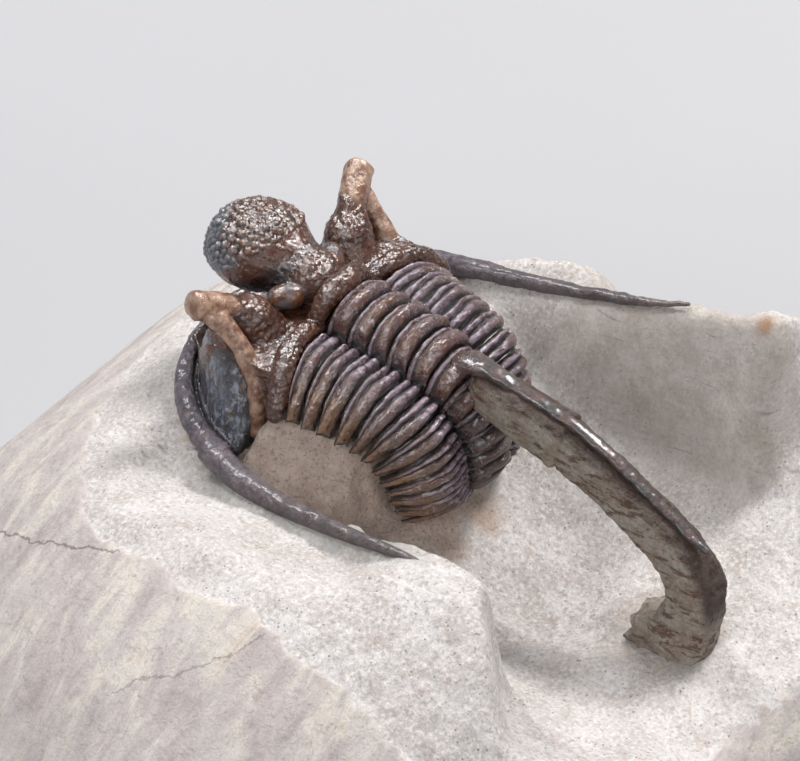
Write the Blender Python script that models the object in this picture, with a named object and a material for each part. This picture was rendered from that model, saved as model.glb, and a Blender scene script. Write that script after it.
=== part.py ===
"""Fossil trilobite, Cyphaspis eberhardiei, standing free on the stone it was prepared from.

The animal faces +Y, its left side is -X and +Z is up. Lengths below are in millimetres: the pieces
are shaped in them, and MM turns each finished mesh into metres. Places are measured from the middle
of the furrow behind the head, which SEAT puts above the middle of the sawn base.
"""

import math

import bmesh
import bpy
from mathutils import Matrix, Vector

MM = 0.001
SEAT = Vector((6.598, 4.738, 19.0))
GAP = 0.06

SEGMENTS = 11
SPINE_SEGMENT = 6
RING_SPACING = 0.97
LAST_RING_SPACING = 0.66
AXIS_HALF_WIDTH = 1.5
LAST_AXIS_HALF_WIDTH = 1.0
RING_HEIGHT = 1.22
OCCIPITAL_HEIGHT = 1.45
LAST_RING_HEIGHT = 0.75
RING_LEAN = 0.45
LEVEL_PITCH = 5.0
TAIL_TURN = 88.0
TURN_STARTS = 2.5
TURN_ENDS = 11.3
TIP_REACH = 5.41
TIP_TAPER = 0.14
TAIL_TAPER = 0.03
TIP_DROP = 1.3
TAIL_FAN = 0.25
AXIS_SHARE = 0.375
PLEURA_KNEE = 0.62
KNEE_RISE_FRONT = 0.3
KNEE_RISE_MIDDLE = 0.5
KNEE_RISE_TAIL = 0.22
TIP_ROUNDING = 0.22
BAND_EDGE = 0.9
BAND_GROOVE = 0.25
EDGE_DEPTH = 0.16
GROOVE_DEPTH = 0.12
MAIN_BAND_HEIGHT = 0.07
SHELL_THICKNESS = 0.6
TIP_THICKNESS = 0.22
SEGMENT_COLUMNS = 14
SEGMENT_ROWS = 4
TAIL_LENGTH = 1.1
TAIL_ROUNDING = 0.86
TAIL_THICKNESS = 0.5
TAIL_RIB_HEIGHT = 0.06

GLABELLA_RADII = (2.12, 2.12, 1.68)
GLABELLA_CENTRE = Vector((0.0, 3.98, 0.85))
TUBERCLE_HEIGHT = 0.13
NECK_CENTRE = (0.0, 1.7, 0.6)
NECK_RADII = (1.3, 1.6, 0.95)
LOBE_CENTRE = (1.33, 1.2, 0.4)
LOBE_RADII = (0.52, 0.62, 0.6)
MOUND_PLACE = (3.05, 1.9)
MOUND_SIZE = (1.15, 1.35)
MOUND_HEIGHT = 1.55
HEAD_TOP = -0.45
HEAD_FRONT_LEVEL = -3.35
FRONT_LINE = 2.3
FRONT_RIM_HEIGHT = 0.5
NECK_UNDERSIDE = -1.75
HEAD_HALF_WIDTH = 7.8
HEAD_LENGTH = 7.6
HEAD_BACK = -1.5
HEAD_UNDERSIDE = -3.6
SUTURE_HALF_WIDTH = 4.75
RIM_HEIGHT = -3.1
RIM_RADIUS = 0.5
RIM_FRONT_RADIUS = 0.32
RIM_INSET = 0.45
RIM_STEPS = 6
CHEEK_START = 19.0
CHEEK_END = 74.0
CHEEK_FOOT = 0.62
CHEEK_FRONT = 5.0
CHEEK_REACH = 0.93
HORN_ROUTE = ((3.0, 2.0, 0.5), (3.9, 2.4, 1.25), (4.55, 2.7, 1.65), (5.1, 2.95, 1.85))
HORN_RADII = (1.0, 0.72, 0.55, 0.5)
BLADE_ROUTE = ((4.9, 2.75, 1.6), (4.75, 1.85, 0.6), (4.65, 0.9, -0.65), (4.8, 0.3, -1.7), (5.0, 0.15, -2.7))
BLADE_RADIUS = 0.42
GENAL_ROUTE = ((7.0, 0.9, -3.1), (7.55, -0.75, -3.1), (7.9, -2.9, -2.95), (8.27, -6.0, -2.35),
               (8.6, -9.0, -1.35), (8.75, -11.2, -0.85), (8.7, -12.5, -0.75))
GENAL_RADII = (0.58, 0.54, 0.49, 0.43, 0.36, 0.29, 0.16)

DORSAL_ROUTE = ((-5.7, 0.0), (-6.3, 0.2), (-7.4, 0.32), (-8.6, 0.15), (-10.4, -0.1),
                (-12.3, -0.65), (-14.2, -1.6), (-16.0, -2.6), (-17.4, -3.25))
DORSAL_RADII = (0.34, 0.4, 0.36, 0.3, 0.28, 0.27, 0.26, 0.24, 0.14)
STRUT_ROUTE = ((-7.35, -0.78), (-8.7, -1.13), (-10.5, -1.55), (-12.35, -2.15), (-14.2, -3.05),
               (-15.8, -3.95), (-16.8, -4.9), (-16.9, -6.1), (-16.3, -7.6), (-15.6, -9.2))
STRUT_RADII = (0.6, 0.85, 0.85, 0.84, 0.88, 0.92, 0.95, 0.97, 1.2, 1.9)
MEND_STEP = 0.1
MEND_POINT = 2

BASE_LEVEL = -19.0
DOME_CENTRE = (-5.1, -6.6)
DOME_EQUATOR = -24.5
DOME_RADIUS = 24.0
DOME_RIGHT = 18.6
DOME_REAR_LEFT = 20.5
DOME_REAR_RIGHT = 18.0
RIGHT_FLARE = 0.25
SIDE_POWER = 6
ROCK_CELLS = 33
CELL_SPREAD = 0.34
EDGE_LIFT = 0.7
RIDGE_LIFT = 4.0
RIDGE_START = -5.8
CORNER_LIFT = 0.8
CORNER_PLACE = (-9.5, -13.5)
CORNER_SIZE = (4.5, 4.0)
DOME_RIM = 0.9475
TROUGH_FLOOR = -9.3
TROUGH_HALF_WIDTH = 7.0
TROUGH_CORNER = -13.4
TROUGH_HOLLOW = 0.033
TROUGH_FLARE_LEFT = 0.1
TROUGH_FLARE_RIGHT = 0.13
TROUGH_WIDENING = 0.7
CORNER_SLANT = 1.3
FLARE_START = -1.5
PAD_HEIGHT = 0.8
PAD_PLACE = -5.8
PAD_SIZE = (3.2, 1.5)
PEDESTAL_FRONT = -1.95
PEDESTAL_REAR = -2.6
PEDESTAL_HALF_WIDTH = 4.7
PEDESTAL_TAPER = 0.25
PEDESTAL_REAR_DROP = 8.0
PEDESTAL_FRONT_DROP = 2.4
PEDESTAL_FLANK = 1.05
RIDGE_END = -14.0
WALL_WIDTH = 0.9
HEEL_HEIGHT = 0.8
HEEL_PLACE = -15.8
HEEL_SIZE = (4.2, 3.4)
SWELL_HEIGHT = 2.4
SWELL_PLACE = (10.6, -3.6)
SWELL_SIZE = (2.2, 3.6)
SWELL_START = 2.0
CARVE_DEPTH = 2.3
CARVE_WIDTH = 5.0
CARVE_MIDDLE = -2.8
RIGHT_CARVE_SHARE = 0.38
HEAD_MEAN_REACH = 7.7
SPINE_END_SEAT = -1.4
SEAT_DROP = 0.2
SEAT_EDGE = 0.4
LIP_SLOPE = 1.1
LIP_FALL = 0.35
LIP_REACH = 1.5
LIP_END = 6.0
LIP_START = 1.5
LIP_FADE = 2.0

COLOURS = {
    "rock": (0.80, 0.76, 0.72),
    "shell": (0.26, 0.18, 0.13),
    "cheek": (0.27, 0.26, 0.29),
    "strut": (0.38, 0.37, 0.32),
}
ROUGHNESS = {"rock": 0.9, "shell": 0.35, "cheek": 0.4, "strut": 0.85}


def clear_scene():
    """Start from an empty scene."""
    for old in list(bpy.data.objects):
        bpy.data.objects.remove(old, do_unlink=True)


def lerp(start, end, share):
    return start + (end - start) * share


def smoothstep(start, end, value):
    """Rise from 0 at start to 1 at end with soft ends."""
    share = min(1.0, max(0.0, (value - start) / (end - start)))
    return share * share * (3.0 - 2.0 * share)


def make_material(name, kind):
    material = bpy.data.materials.new(name)
    material.use_nodes = True
    shader = material.node_tree.nodes["Principled BSDF"]
    shader.inputs["Base Color"].default_value = (*COLOURS[kind], 1.0)
    shader.inputs["Roughness"].default_value = ROUGHNESS[kind]
    shader.inputs["Metallic"].default_value = 0.0
    return material


def add_object(name, mesh, group):
    obj = bpy.data.objects.new(name, mesh)
    group["collection"].objects.link(obj)
    obj.parent = group["seat"]
    return obj


def finish(obj, kind, smooth_angle=50.0):
    """Bring an object to metres, and give it its material and smooth shading with its creases kept."""
    obj.data.transform(Matrix.Scale(MM, 4))
    obj.data.materials.clear()
    obj.data.materials.append(make_material(obj.name + "_finish", kind))
    obj.data.shade_smooth()
    obj.data.set_sharp_from_angle(angle=math.radians(smooth_angle))
    return obj


def mesh_from(bm, name):
    """Turn a bmesh into a mesh of triangles with its faces outward."""
    bmesh.ops.recalc_face_normals(bm, faces=bm.faces)
    if bm.calc_volume(signed=True) < 0.0:
        bmesh.ops.reverse_faces(bm, faces=bm.faces)
    bmesh.ops.triangulate(bm, faces=bm.faces)
    mesh = bpy.data.meshes.new(name)
    bm.to_mesh(mesh)
    bm.free()
    return mesh


def slab(name, columns, rows, upper, lower, group):
    """A closed sheet: a grid whose top follows upper(u, v) and whose underside follows lower(u, v)."""
    bm = bmesh.new()
    bmesh.ops.create_grid(bm, x_segments=columns, y_segments=rows, size=1.0)
    under = list(bm.verts)
    raised = bmesh.ops.extrude_face_region(bm, geom=list(bm.faces), use_keep_orig=True)
    over = [item for item in raised["geom"] if isinstance(item, bmesh.types.BMVert)]
    inner_rows = []
    for edge in bm.edges:
        first, second = edge.verts
        level = first.co.y
        if first in under and second in under and abs(level - second.co.y) < 1e-6 and abs(level) < 0.99:
            inner_rows.append(edge)
    places = [(vert, upper(vert.co.x, vert.co.y)) for vert in over]
    places += [(vert, lower(vert.co.x, vert.co.y)) for vert in under]
    for vert, place in places:
        vert.co = place
    bmesh.ops.dissolve_edges(bm, edges=inner_rows, use_verts=True)
    return add_object(name, mesh_from(bm, name), group)


def ball(name, centre, radii, detail, group):
    """An ellipsoid from an icosphere."""
    bm = bmesh.new()
    bmesh.ops.create_icosphere(bm, subdivisions=detail, radius=1.0)
    for vert in bm.verts:
        vert.co = Vector(centre) + Vector([vert.co[axis] * radii[axis] for axis in range(3)])
    return add_object(name, mesh_from(bm, name), group)


def smooth_route(points, steps):
    """Points on a Catmull-Rom curve through the route's own points."""
    points = [Vector(point) for point in points]
    padded = [points[0] * 2 - points[1]] + points + [points[-1] * 2 - points[-2]]
    result = []
    for index in range(len(points) - 1):
        before, start, end, after = padded[index:index + 4]
        for step in range(steps):
            share = step / steps
            result.append(0.5 * (2 * start + (end - before) * share
                                 + (2 * before - 5 * start + 4 * end - after) * share ** 2
                                 + (3 * start - before - 3 * end + after) * share ** 3))
    result.append(points[-1])
    return result


def tube(name, route, radii, group, steps=2, sides=2):
    """A tapered rod along a smooth route, with closed ends."""
    points = smooth_route(route, steps)
    widths = smooth_route([(radius, 0.0, 0.0) for radius in radii], steps)
    curve = bpy.data.curves.new(name, "CURVE")
    curve.dimensions = "3D"
    curve.bevel_depth = 1.0
    curve.bevel_resolution = sides
    curve.use_fill_caps = True
    spline = curve.splines.new("POLY")
    spline.points.add(len(points) - 1)
    for knot, point, width in zip(spline.points, points, widths):
        knot.co = (*point, 1.0)
        knot.radius = width.x
    route_object = bpy.data.objects.new(name + "_route", curve)
    group["collection"].objects.link(route_object)
    depsgraph = bpy.context.evaluated_depsgraph_get()
    mesh = bpy.data.meshes.new_from_object(route_object.evaluated_get(depsgraph))
    bpy.data.objects.remove(route_object, do_unlink=True)
    bm = bmesh.new()
    bm.from_mesh(mesh)
    bpy.data.meshes.remove(mesh)
    bmesh.ops.remove_doubles(bm, verts=bm.verts, dist=0.001)
    return add_object(name, mesh_from(bm, name), group)


def combine(obj, others, operation="UNION"):
    """Join the others to an object, or cut them from it, and remove them."""
    for other in others:
        modifier = obj.modifiers.new(other.name, "BOOLEAN")
        modifier.operation = operation
        modifier.solver = "EXACT"
        modifier.object = other
    bpy.context.view_layer.update()
    depsgraph = bpy.context.evaluated_depsgraph_get()
    mesh = bpy.data.meshes.new_from_object(obj.evaluated_get(depsgraph))
    obj.modifiers.clear()
    obj.data = mesh
    for other in others:
        bpy.data.objects.remove(other, do_unlink=True)
    return obj


# The line that the body follows: level behind the head and curled down at the tail

def pitch_at(t):
    """How far the body has turned down at ring t, in radians."""
    return math.radians(LEVEL_PITCH + TAIL_TURN * smoothstep(TURN_STARTS, TURN_ENDS, t))


def spacing_at(t):
    return lerp(RING_SPACING, LAST_RING_SPACING, smoothstep(4.0, SEGMENTS, t))


def axis_place(t):
    """Height and fore-and-aft place of the axis line at ring t, counted from the head."""
    count = 60
    step = t / count
    y = 0.0
    z = 0.0
    for index in range(count):
        middle = (index + 0.5) * step
        y -= math.cos(pitch_at(middle)) * spacing_at(middle) * step
        z -= math.sin(pitch_at(middle)) * spacing_at(middle) * step
    return y, z


def body_point(x, t, height, back=0.0):
    y, z = axis_place(t)
    pitch = pitch_at(t)
    return Vector((x,
                   y - math.sin(pitch) * height - math.cos(pitch) * back,
                   z + math.cos(pitch) * height - math.sin(pitch) * back))


def tip_reach(t):
    return TIP_REACH - TIP_TAPER * t - TAIL_TAPER * max(0.0, t - 7.0) ** 2


def outward(side):
    """Share of the way from the axial furrow, 0, to the tip of a side rib, 1."""
    return max(0.0, (side - AXIS_SHARE) / (1.0 - AXIS_SHARE))


def body_height(side, t):
    """Place across and height of the body surface; side runs from 0 on the axis to 1 at the tip."""
    half_axis = lerp(AXIS_HALF_WIDTH, LAST_AXIS_HALF_WIDTH, smoothstep(3.0, SEGMENTS, t))
    crest = lerp(RING_HEIGHT, LAST_RING_HEIGHT, smoothstep(SPINE_SEGMENT, SEGMENTS, t))
    crest += (OCCIPITAL_HEIGHT - RING_HEIGHT) * smoothstep(0.9, 0.0, t)
    if side <= AXIS_SHARE:
        angle = 0.5 * math.pi * side / AXIS_SHARE
        return half_axis * math.sin(angle), crest * math.cos(angle) ** 0.8
    out = outward(side)
    across = lerp(half_axis, tip_reach(t), out)
    rise = lerp(KNEE_RISE_FRONT, KNEE_RISE_MIDDLE, smoothstep(0.0, SPINE_SEGMENT, t))
    rise = lerp(rise, KNEE_RISE_TAIL, smoothstep(SPINE_SEGMENT, SEGMENTS, t))
    if out < PLEURA_KNEE:
        return across, rise * math.sin(0.5 * math.pi * out / PLEURA_KNEE)
    fall = (out - PLEURA_KNEE) / (1.0 - PLEURA_KNEE)
    drop = TIP_DROP + 0.04 * t - 0.1 * max(0.0, t - 8.0)
    return across, rise - (rise + drop) * fall ** 1.4


def body_sweep(side, t):
    """How far back a point lies: side ribs sweep back at both ends of the body, ring crests lean on."""
    if side < AXIS_SHARE:
        return -RING_LEAN * smoothstep(1.0, 6.0, t) * (1.0 - (side / AXIS_SHARE) ** 2)
    return outward(side) ** 2 * (max(0.0, 1.0 - t / 3.0) + TAIL_FAN * max(0.0, t - 6.0))


def band_relief(v):
    """Height of a segment's ribs: a thin front line, a groove and the broad main band."""
    if abs(v) > BAND_EDGE:
        return -EDGE_DEPTH
    if v < -BAND_GROOVE:
        return 0.0
    if v < BAND_GROOVE:
        return -GROOVE_DEPTH
    return MAIN_BAND_HEIGHT


def segment_surface(index, under):
    """Top or underside of one ring with its side ribs, as a function of u and v."""
    half_slot = 0.5 - 0.5 * GAP

    def surface(u, v):
        side = abs(u)
        t = index + v * half_slot
        across, height = body_height(side, t)
        rounding = TIP_ROUNDING * v * v * smoothstep(0.8, 1.0, side)
        height += band_relief(v)
        if under:
            height -= lerp(SHELL_THICKNESS, TIP_THICKNESS, outward(side) ** 2)
        return body_point(math.copysign(across - rounding, u), t, height, body_sweep(side, t))

    return surface


def make_segment(index, name, group):
    upper = segment_surface(index, False)
    lower = segment_surface(index, True)
    return slab(name, SEGMENT_COLUMNS, SEGMENT_ROWS, upper, lower, group)


def plane_route(route):
    return [(0.0, y, z) for y, z in route]


def make_spine_segment(group):
    """The sixth ring and the long spine that grew from it."""
    name = "thoracic_segment_%02d" % SPINE_SEGMENT
    ring = make_segment(SPINE_SEGMENT, name, group)
    spine = tube("dorsal_spine", plane_route(DORSAL_ROUTE), DORSAL_RADII, group)
    return combine(ring, [spine])


def make_pygidium(group):
    """The tail shield: the rest of the body line with a rounded rear edge."""
    first = SEGMENTS + 0.5 + 0.5 * GAP

    def surface(under):
        def place(u, v):
            back = 0.5 * (v + 1.0)
            t = first + TAIL_LENGTH * back
            across, height = body_height(abs(u), t)
            across *= math.sqrt(1.0 - (TAIL_ROUNDING * back) ** 2)
            height *= 1.0 - 0.5 * back
            height += TAIL_RIB_HEIGHT * math.cos(4.0 * math.pi * back)
            if under:
                height -= lerp(TAIL_THICKNESS, TIP_THICKNESS, abs(u))
            sweep = body_sweep(abs(u), t) * (1.0 - 0.55 * back)
            return body_point(math.copysign(across, u), t, height, sweep)
        return place

    return slab("pygidium", SEGMENT_COLUMNS, SEGMENT_ROWS, surface(False), surface(True), group)


# The head

def head_outline(x):
    """Front edge of the head at a distance x from the middle."""
    return HEAD_BACK + HEAD_LENGTH * math.sqrt(max(0.0, 1.0 - (x / HEAD_HALF_WIDTH) ** 2))


def suture_half_width(y):
    return lerp(SUTURE_HALF_WIDTH, FRONT_LINE, smoothstep(2.6, 5.8, y))


def head_height(x, y):
    """Height of the head between the sutures: two cheek mounds over a slope to the front rim."""
    base = lerp(HEAD_TOP, HEAD_FRONT_LEVEL, smoothstep(2.2, 5.4, y))
    across = (abs(x) - MOUND_PLACE[0]) / MOUND_SIZE[0]
    along = (y - MOUND_PLACE[1]) / MOUND_SIZE[1]
    mound = MOUND_HEIGHT * math.exp(-across ** 2 - along ** 2)
    rim = FRONT_RIM_HEIGHT * math.exp(-((head_outline(x) - 0.4 - y) / 0.35) ** 2)
    return base + mound + rim


def make_cranidium(group):
    def plan(u, v):
        ahead = 0.5 * (v + 1.0)
        rear = 0.25 - 1.0 * abs(u) ** 2
        y = lerp(rear, head_outline(FRONT_LINE * u) - 0.02, ahead)
        return u * suture_half_width(y), y

    def upper(u, v):
        x, y = plan(u, v)
        return Vector((x, y, head_height(x, y)))

    def lower(u, v):
        x, y = plan(u, v)
        return Vector((x, y, lerp(NECK_UNDERSIDE, HEAD_UNDERSIDE, smoothstep(0.0, 1.6, y))))

    head = slab("cranidium", 12, 9, upper, lower, group)
    pieces = [make_segment(0, "rear_border", group)]
    pieces.append(make_glabella(group))
    pieces.append(ball("neck", NECK_CENTRE, NECK_RADII, 2, group))
    for side, tag in ((-1, "left"), (1, "right")):
        lobe_centre = mirrored([LOBE_CENTRE], side)[0]
        pieces.append(ball("basal_lobe_" + tag, lobe_centre, LOBE_RADII, 2, group))
        pieces.append(tube("horn_" + tag, mirrored(HORN_ROUTE, side), HORN_RADII, group, 1))
        blade_radii = [BLADE_RADIUS] * len(BLADE_ROUTE)
        pieces.append(tube("blade_" + tag, mirrored(BLADE_ROUTE, side), blade_radii, group, 1))
    return combine(head, pieces)


def mirrored(route, side):
    return [(x * side, y, z) for x, y, z in route]


def make_glabella(group):
    """The swollen glabella, with tubercles raised on points that have no raised neighbour."""
    glabella = ball("glabella", GLABELLA_CENTRE, GLABELLA_RADII, 4, group)
    bm = bmesh.new()
    bm.from_mesh(glabella.data)
    raised = set()
    for vert in bm.verts:
        near = [edge.other_vert(vert).index for edge in vert.link_edges]
        if not raised.intersection(near):
            raised.add(vert.index)
    for vert in bm.verts:
        if vert.index in raised:
            vert.co += (vert.co - GLABELLA_CENTRE).normalized() * TUBERCLE_HEIGHT
    bm.to_mesh(glabella.data)
    bm.free()
    return glabella


def make_cheek(side, name, group):
    """A free cheek: the eye slope, the border furrow, the raised rim and the genal spine."""
    def place(u, v):
        along = 0.5 * (u + 1.0)
        angle = math.radians(lerp(CHEEK_START, CHEEK_END, along))
        outer = Vector((HEAD_HALF_WIDTH * math.cos(angle), HEAD_BACK + HEAD_LENGTH * math.sin(angle), 0.0))
        y = lerp(CHEEK_FOOT, CHEEK_FRONT, along)
        inner = Vector((suture_half_width(y) + GAP, y, 0.0))
        return inner, outer, 0.5 * (v + 1.0)

    def upper(u, v):
        inner, outer, out = place(u, v)
        spot = inner.lerp(outer, CHEEK_REACH * out)
        top = head_height(inner.x - GAP, inner.y)
        bulge = 1.0 - out ** 1.5
        spot.z = lerp(RIM_HEIGHT - 0.35, top, bulge)
        return Vector((spot.x * side, spot.y, spot.z))

    def lower(u, v):
        inner, outer, out = place(u, v)
        spot = inner.lerp(outer, CHEEK_REACH * out)
        return Vector((spot.x * side, spot.y, HEAD_UNDERSIDE))

    cheek = slab(name, 8, 4, upper, lower, group)
    rim = []
    radii = []
    for step in range(RIM_STEPS + 1):
        share = step / RIM_STEPS
        angle = math.radians(lerp(66.0, 24.0, share))
        rim.append(((HEAD_HALF_WIDTH - RIM_INSET) * math.cos(angle),
                    HEAD_BACK + (HEAD_LENGTH - RIM_INSET) * math.sin(angle),
                    RIM_HEIGHT - 0.05))
        radii.append(lerp(RIM_FRONT_RADIUS, RIM_RADIUS, share))
    rim_route = mirrored(tuple(rim) + GENAL_ROUTE, side)
    rim_tube = tube(name + "_rim", rim_route, radii + list(GENAL_RADII), group, 1)
    combine(cheek, [rim_tube])
    wide_blade = tube(name + "_blade_room", mirrored(BLADE_ROUTE, side),
                      [BLADE_RADIUS + GAP] * len(BLADE_ROUTE), group, 1)
    wide_horn = tube(name + "_horn_room", mirrored(HORN_ROUTE, side),
                     [radius + GAP for radius in HORN_RADII], group, 1)
    return combine(cheek, [wide_blade, wide_horn], "DIFFERENCE")


def make_strut(rock, group):
    """The rough stone rod under the spine, thicker at its mend, with its foot fitted to the stone."""
    radii = list(STRUT_RADII)
    radii[MEND_POINT] += MEND_STEP
    strut = tube("spine_strut", plane_route(STRUT_ROUTE), radii, group, 2, 3)
    room = tube("spine_room", plane_route(DORSAL_ROUTE), [radius + GAP for radius in DORSAL_RADII], group)
    ground = add_object("strut_ground", rock.data.copy(), group)
    ground.data.transform(Matrix.Translation((0.0, 0.0, GAP)))
    return combine(strut, [room, ground], "DIFFERENCE")


# The stone

def dome_share(x, y):
    """Distance from the dome's middle as a share of its size, squared."""
    across = x - DOME_CENTRE[0]
    along = y - DOME_CENTRE[1]
    if across < 0.0:
        sideways = (across / DOME_RADIUS) ** 2
    else:
        flare = RIGHT_FLARE * min(10.0, max(0.0, -3.0 - y))
        sideways = (across / (DOME_RIGHT + flare)) ** SIDE_POWER
    rear = lerp(DOME_REAR_LEFT, DOME_REAR_RIGHT, smoothstep(-10.0, 2.0, x))
    reach = DOME_RADIUS if along > 0.0 else rear
    return sideways + (along / reach) ** 2


def natural_height(x, y):
    """The nodule's own rounded surface, with the ridge on its right side."""
    share = dome_share(x, y)
    dome = DOME_EQUATOR + DOME_RADIUS * math.sqrt(max(0.0, 1.0 - share))
    rise = min(1.0, max(0.0, (y - RIDGE_START) / (RIDGE_END - RIDGE_START)))
    ridge = RIDGE_LIFT * rise ** 2 * smoothstep(3.0, 8.0, x)
    across = (x - CORNER_PLACE[0]) / CORNER_SIZE[0]
    along = (y - CORNER_PLACE[1]) / CORNER_SIZE[1]
    corner = CORNER_LIFT * math.exp(-across ** 2 - along ** 2)
    return dome + (ridge + corner) * smoothstep(0.0, 0.35, DOME_RIM - share)


def beyond_head(x, y):
    """Distance outside the line of the head's edge and the cheek spines."""
    if y > HEAD_BACK:
        return HEAD_MEAN_REACH * (math.hypot(x / HEAD_HALF_WIDTH, (y - HEAD_BACK) / HEAD_LENGTH) - 1.0)
    return abs(x) - HEAD_HALF_WIDTH - 0.1 * (HEAD_BACK - y)


def plateau_height(x, y):
    """Natural surface with the moat worked down around the head and spines."""
    beyond = beyond_head(x, y)
    depth = CARVE_DEPTH * (1.0 - smoothstep(3.5, 9.0, abs(y - CARVE_MIDDLE)))
    if x > 0.0:
        depth *= RIGHT_CARVE_SHARE
    height = natural_height(x, y) - depth * (1.0 - smoothstep(0.3, CARVE_WIDTH, beyond))
    lip = HEAD_UNDERSIDE - SEAT_DROP - LIP_SLOPE * max(0.0, beyond - SEAT_DROP)
    lip -= LIP_FALL * max(0.0, beyond - LIP_REACH) ** 2
    lip -= LIP_END * smoothstep(LIP_START, LIP_START - LIP_FADE, y)
    height = max(height, lip)
    across = (x - SWELL_PLACE[0]) / SWELL_SIZE[0]
    along = (y - SWELL_PLACE[1]) / SWELL_SIZE[1]
    height += SWELL_HEIGHT * math.exp(-across ** 2 - along ** 2) * smoothstep(SEAT_EDGE, SWELL_START, beyond)
    if beyond < SEAT_EDGE:
        height = min(height, spine_seat(y))
    return height


def spine_seat(y):
    """Height of the stone right under the head rim and the cheek spines."""
    return lerp(HEAD_UNDERSIDE - SEAT_DROP, SPINE_END_SEAT, smoothstep(-3.0, -11.0, y))


def floor_height(x, y):
    """The trough floor, the pedestal under the body, and the pads under the tail and the strut."""
    floor = lerp(HEAD_UNDERSIDE - 0.3, TROUGH_FLOOR, smoothstep(0.5, -11.0, y))
    floor += TROUGH_HOLLOW * x * x * smoothstep(-2.0, -8.0, y)
    pad = PAD_HEIGHT * math.exp(-(x / PAD_SIZE[0]) ** 2 - ((y - PAD_PLACE) / PAD_SIZE[1]) ** 2)
    top = lerp(PEDESTAL_FRONT, PEDESTAL_REAR, smoothstep(-1.5, -4.0, y))
    top -= PEDESTAL_REAR_DROP * smoothstep(-4.1, -5.3, y)
    top -= PEDESTAL_FRONT_DROP * smoothstep(-0.6, 0.6, y)
    shoulder = PEDESTAL_HALF_WIDTH - PEDESTAL_TAPER * max(0.0, -1.0 - y)
    pedestal = top - PEDESTAL_FLANK * max(0.0, abs(x) - shoulder)
    heel = HEEL_HEIGHT * math.exp(-(x / HEEL_SIZE[0]) ** 4 - ((y - HEEL_PLACE) / HEEL_SIZE[1]) ** 4)
    return max(floor + pad + heel, pedestal)


def plateau_share(x, y):
    """1 on the plateau and the ridges, 0 in the trough, with steep walls between."""
    behind = max(0.0, FLARE_START - y)
    widening = smoothstep(-4.0, -9.0, y)
    left_edge = TROUGH_HALF_WIDTH + TROUGH_FLARE_LEFT * behind
    if y < TROUGH_CORNER:
        left_edge += CORNER_SLANT * (TROUGH_CORNER - y)
    right_edge = TROUGH_HALF_WIDTH + TROUGH_FLARE_RIGHT * behind + TROUGH_WIDENING * widening
    if x < 0.0:
        return smoothstep(left_edge - WALL_WIDTH, left_edge, -x)
    share = smoothstep(right_edge - WALL_WIDTH - widening, right_edge, x)
    return share * smoothstep(RIDGE_END - WALL_WIDTH, RIDGE_END, y)


def rock_height(x, y):
    natural = natural_height(x, y)
    floor = min(floor_height(x, y), natural - 0.05)
    return max(BASE_LEVEL, lerp(floor, plateau_height(x, y), plateau_share(x, y)))


def rim_radius(angle):
    """Distance from the dome's middle to its outline at the base, found by halving."""
    near, far = 0.0, 2.0 * DOME_RADIUS
    for _ in range(40):
        middle = 0.5 * (near + far)
        x = DOME_CENTRE[0] + middle * math.cos(angle)
        y = DOME_CENTRE[1] + middle * math.sin(angle)
        if dome_share(x, y) < DOME_RIM:
            near = middle
        else:
            far = middle
    return near


def rock_plan(u, v):
    """Place on the stone of a grid point: finer in the middle, round at the edge."""
    u = lerp(u, u ** 3, CELL_SPREAD)
    v = lerp(v, v ** 3, CELL_SPREAD)
    disc = Vector((u * math.sqrt(1.0 - 0.5 * v * v), v * math.sqrt(1.0 - 0.5 * u * u)))
    angle = math.atan2(disc.y, disc.x)
    reach = rim_radius(angle)
    x = DOME_CENTRE[0] + disc.x * reach
    y = DOME_CENTRE[1] + disc.y * reach
    return x, y


def make_rock(group):
    bm = bmesh.new()
    bmesh.ops.create_grid(bm, x_segments=ROCK_CELLS, y_segments=ROCK_CELLS, size=1.0)
    edge_of_top = [edge for edge in bm.edges if edge.is_boundary]
    for vert in bm.verts:
        x, y = rock_plan(vert.co.x, vert.co.y)
        lift = EDGE_LIFT if vert.is_boundary else 0.0
        vert.co = Vector((x, y, rock_height(x, y) + lift))
    skirt = bmesh.ops.extrude_edge_only(bm, edges=edge_of_top)
    for item in skirt["geom"]:
        if isinstance(item, bmesh.types.BMVert):
            item.co.z = BASE_LEVEL
    bmesh.ops.holes_fill(bm, edges=[edge for edge in bm.edges if edge.is_boundary])
    return add_object("matrix_block", mesh_from(bm, "matrix_block"), group)


def main():
    clear_scene()
    collection = bpy.data.collections.new("cyphaspis_fossil")
    bpy.context.scene.collection.children.link(collection)
    seat = bpy.data.objects.new("body_seat", None)
    seat.location = SEAT * MM
    collection.objects.link(seat)
    group = {"collection": collection, "seat": seat}
    rock = make_rock(group)
    finish(make_strut(rock, group), "strut")
    finish(rock, "rock", 35.0)
    finish(make_cranidium(group), "shell")
    finish(make_cheek(-1, "free_cheek_left", group), "cheek")
    finish(make_cheek(1, "free_cheek_right", group), "cheek")
    for index in range(1, SEGMENTS + 1):
        if index == SPINE_SEGMENT:
            finish(make_spine_segment(group), "shell")
        else:
            finish(make_segment(index, "thoracic_segment_%02d" % index, group), "shell")
    finish(make_pygidium(group), "shell")


main()
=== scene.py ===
"""Looks of the fossil trilobite on its stone: the shapes seen up close, the finishes and the light.

Shapes are made in millimetres, measured from the middle of the furrow behind the head, with the
animal facing +Y and its left side at -X. to_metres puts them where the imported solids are.
"""

import math

import bmesh
import bpy
import numpy as np
from mathutils import Matrix, Vector, kdtree


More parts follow.
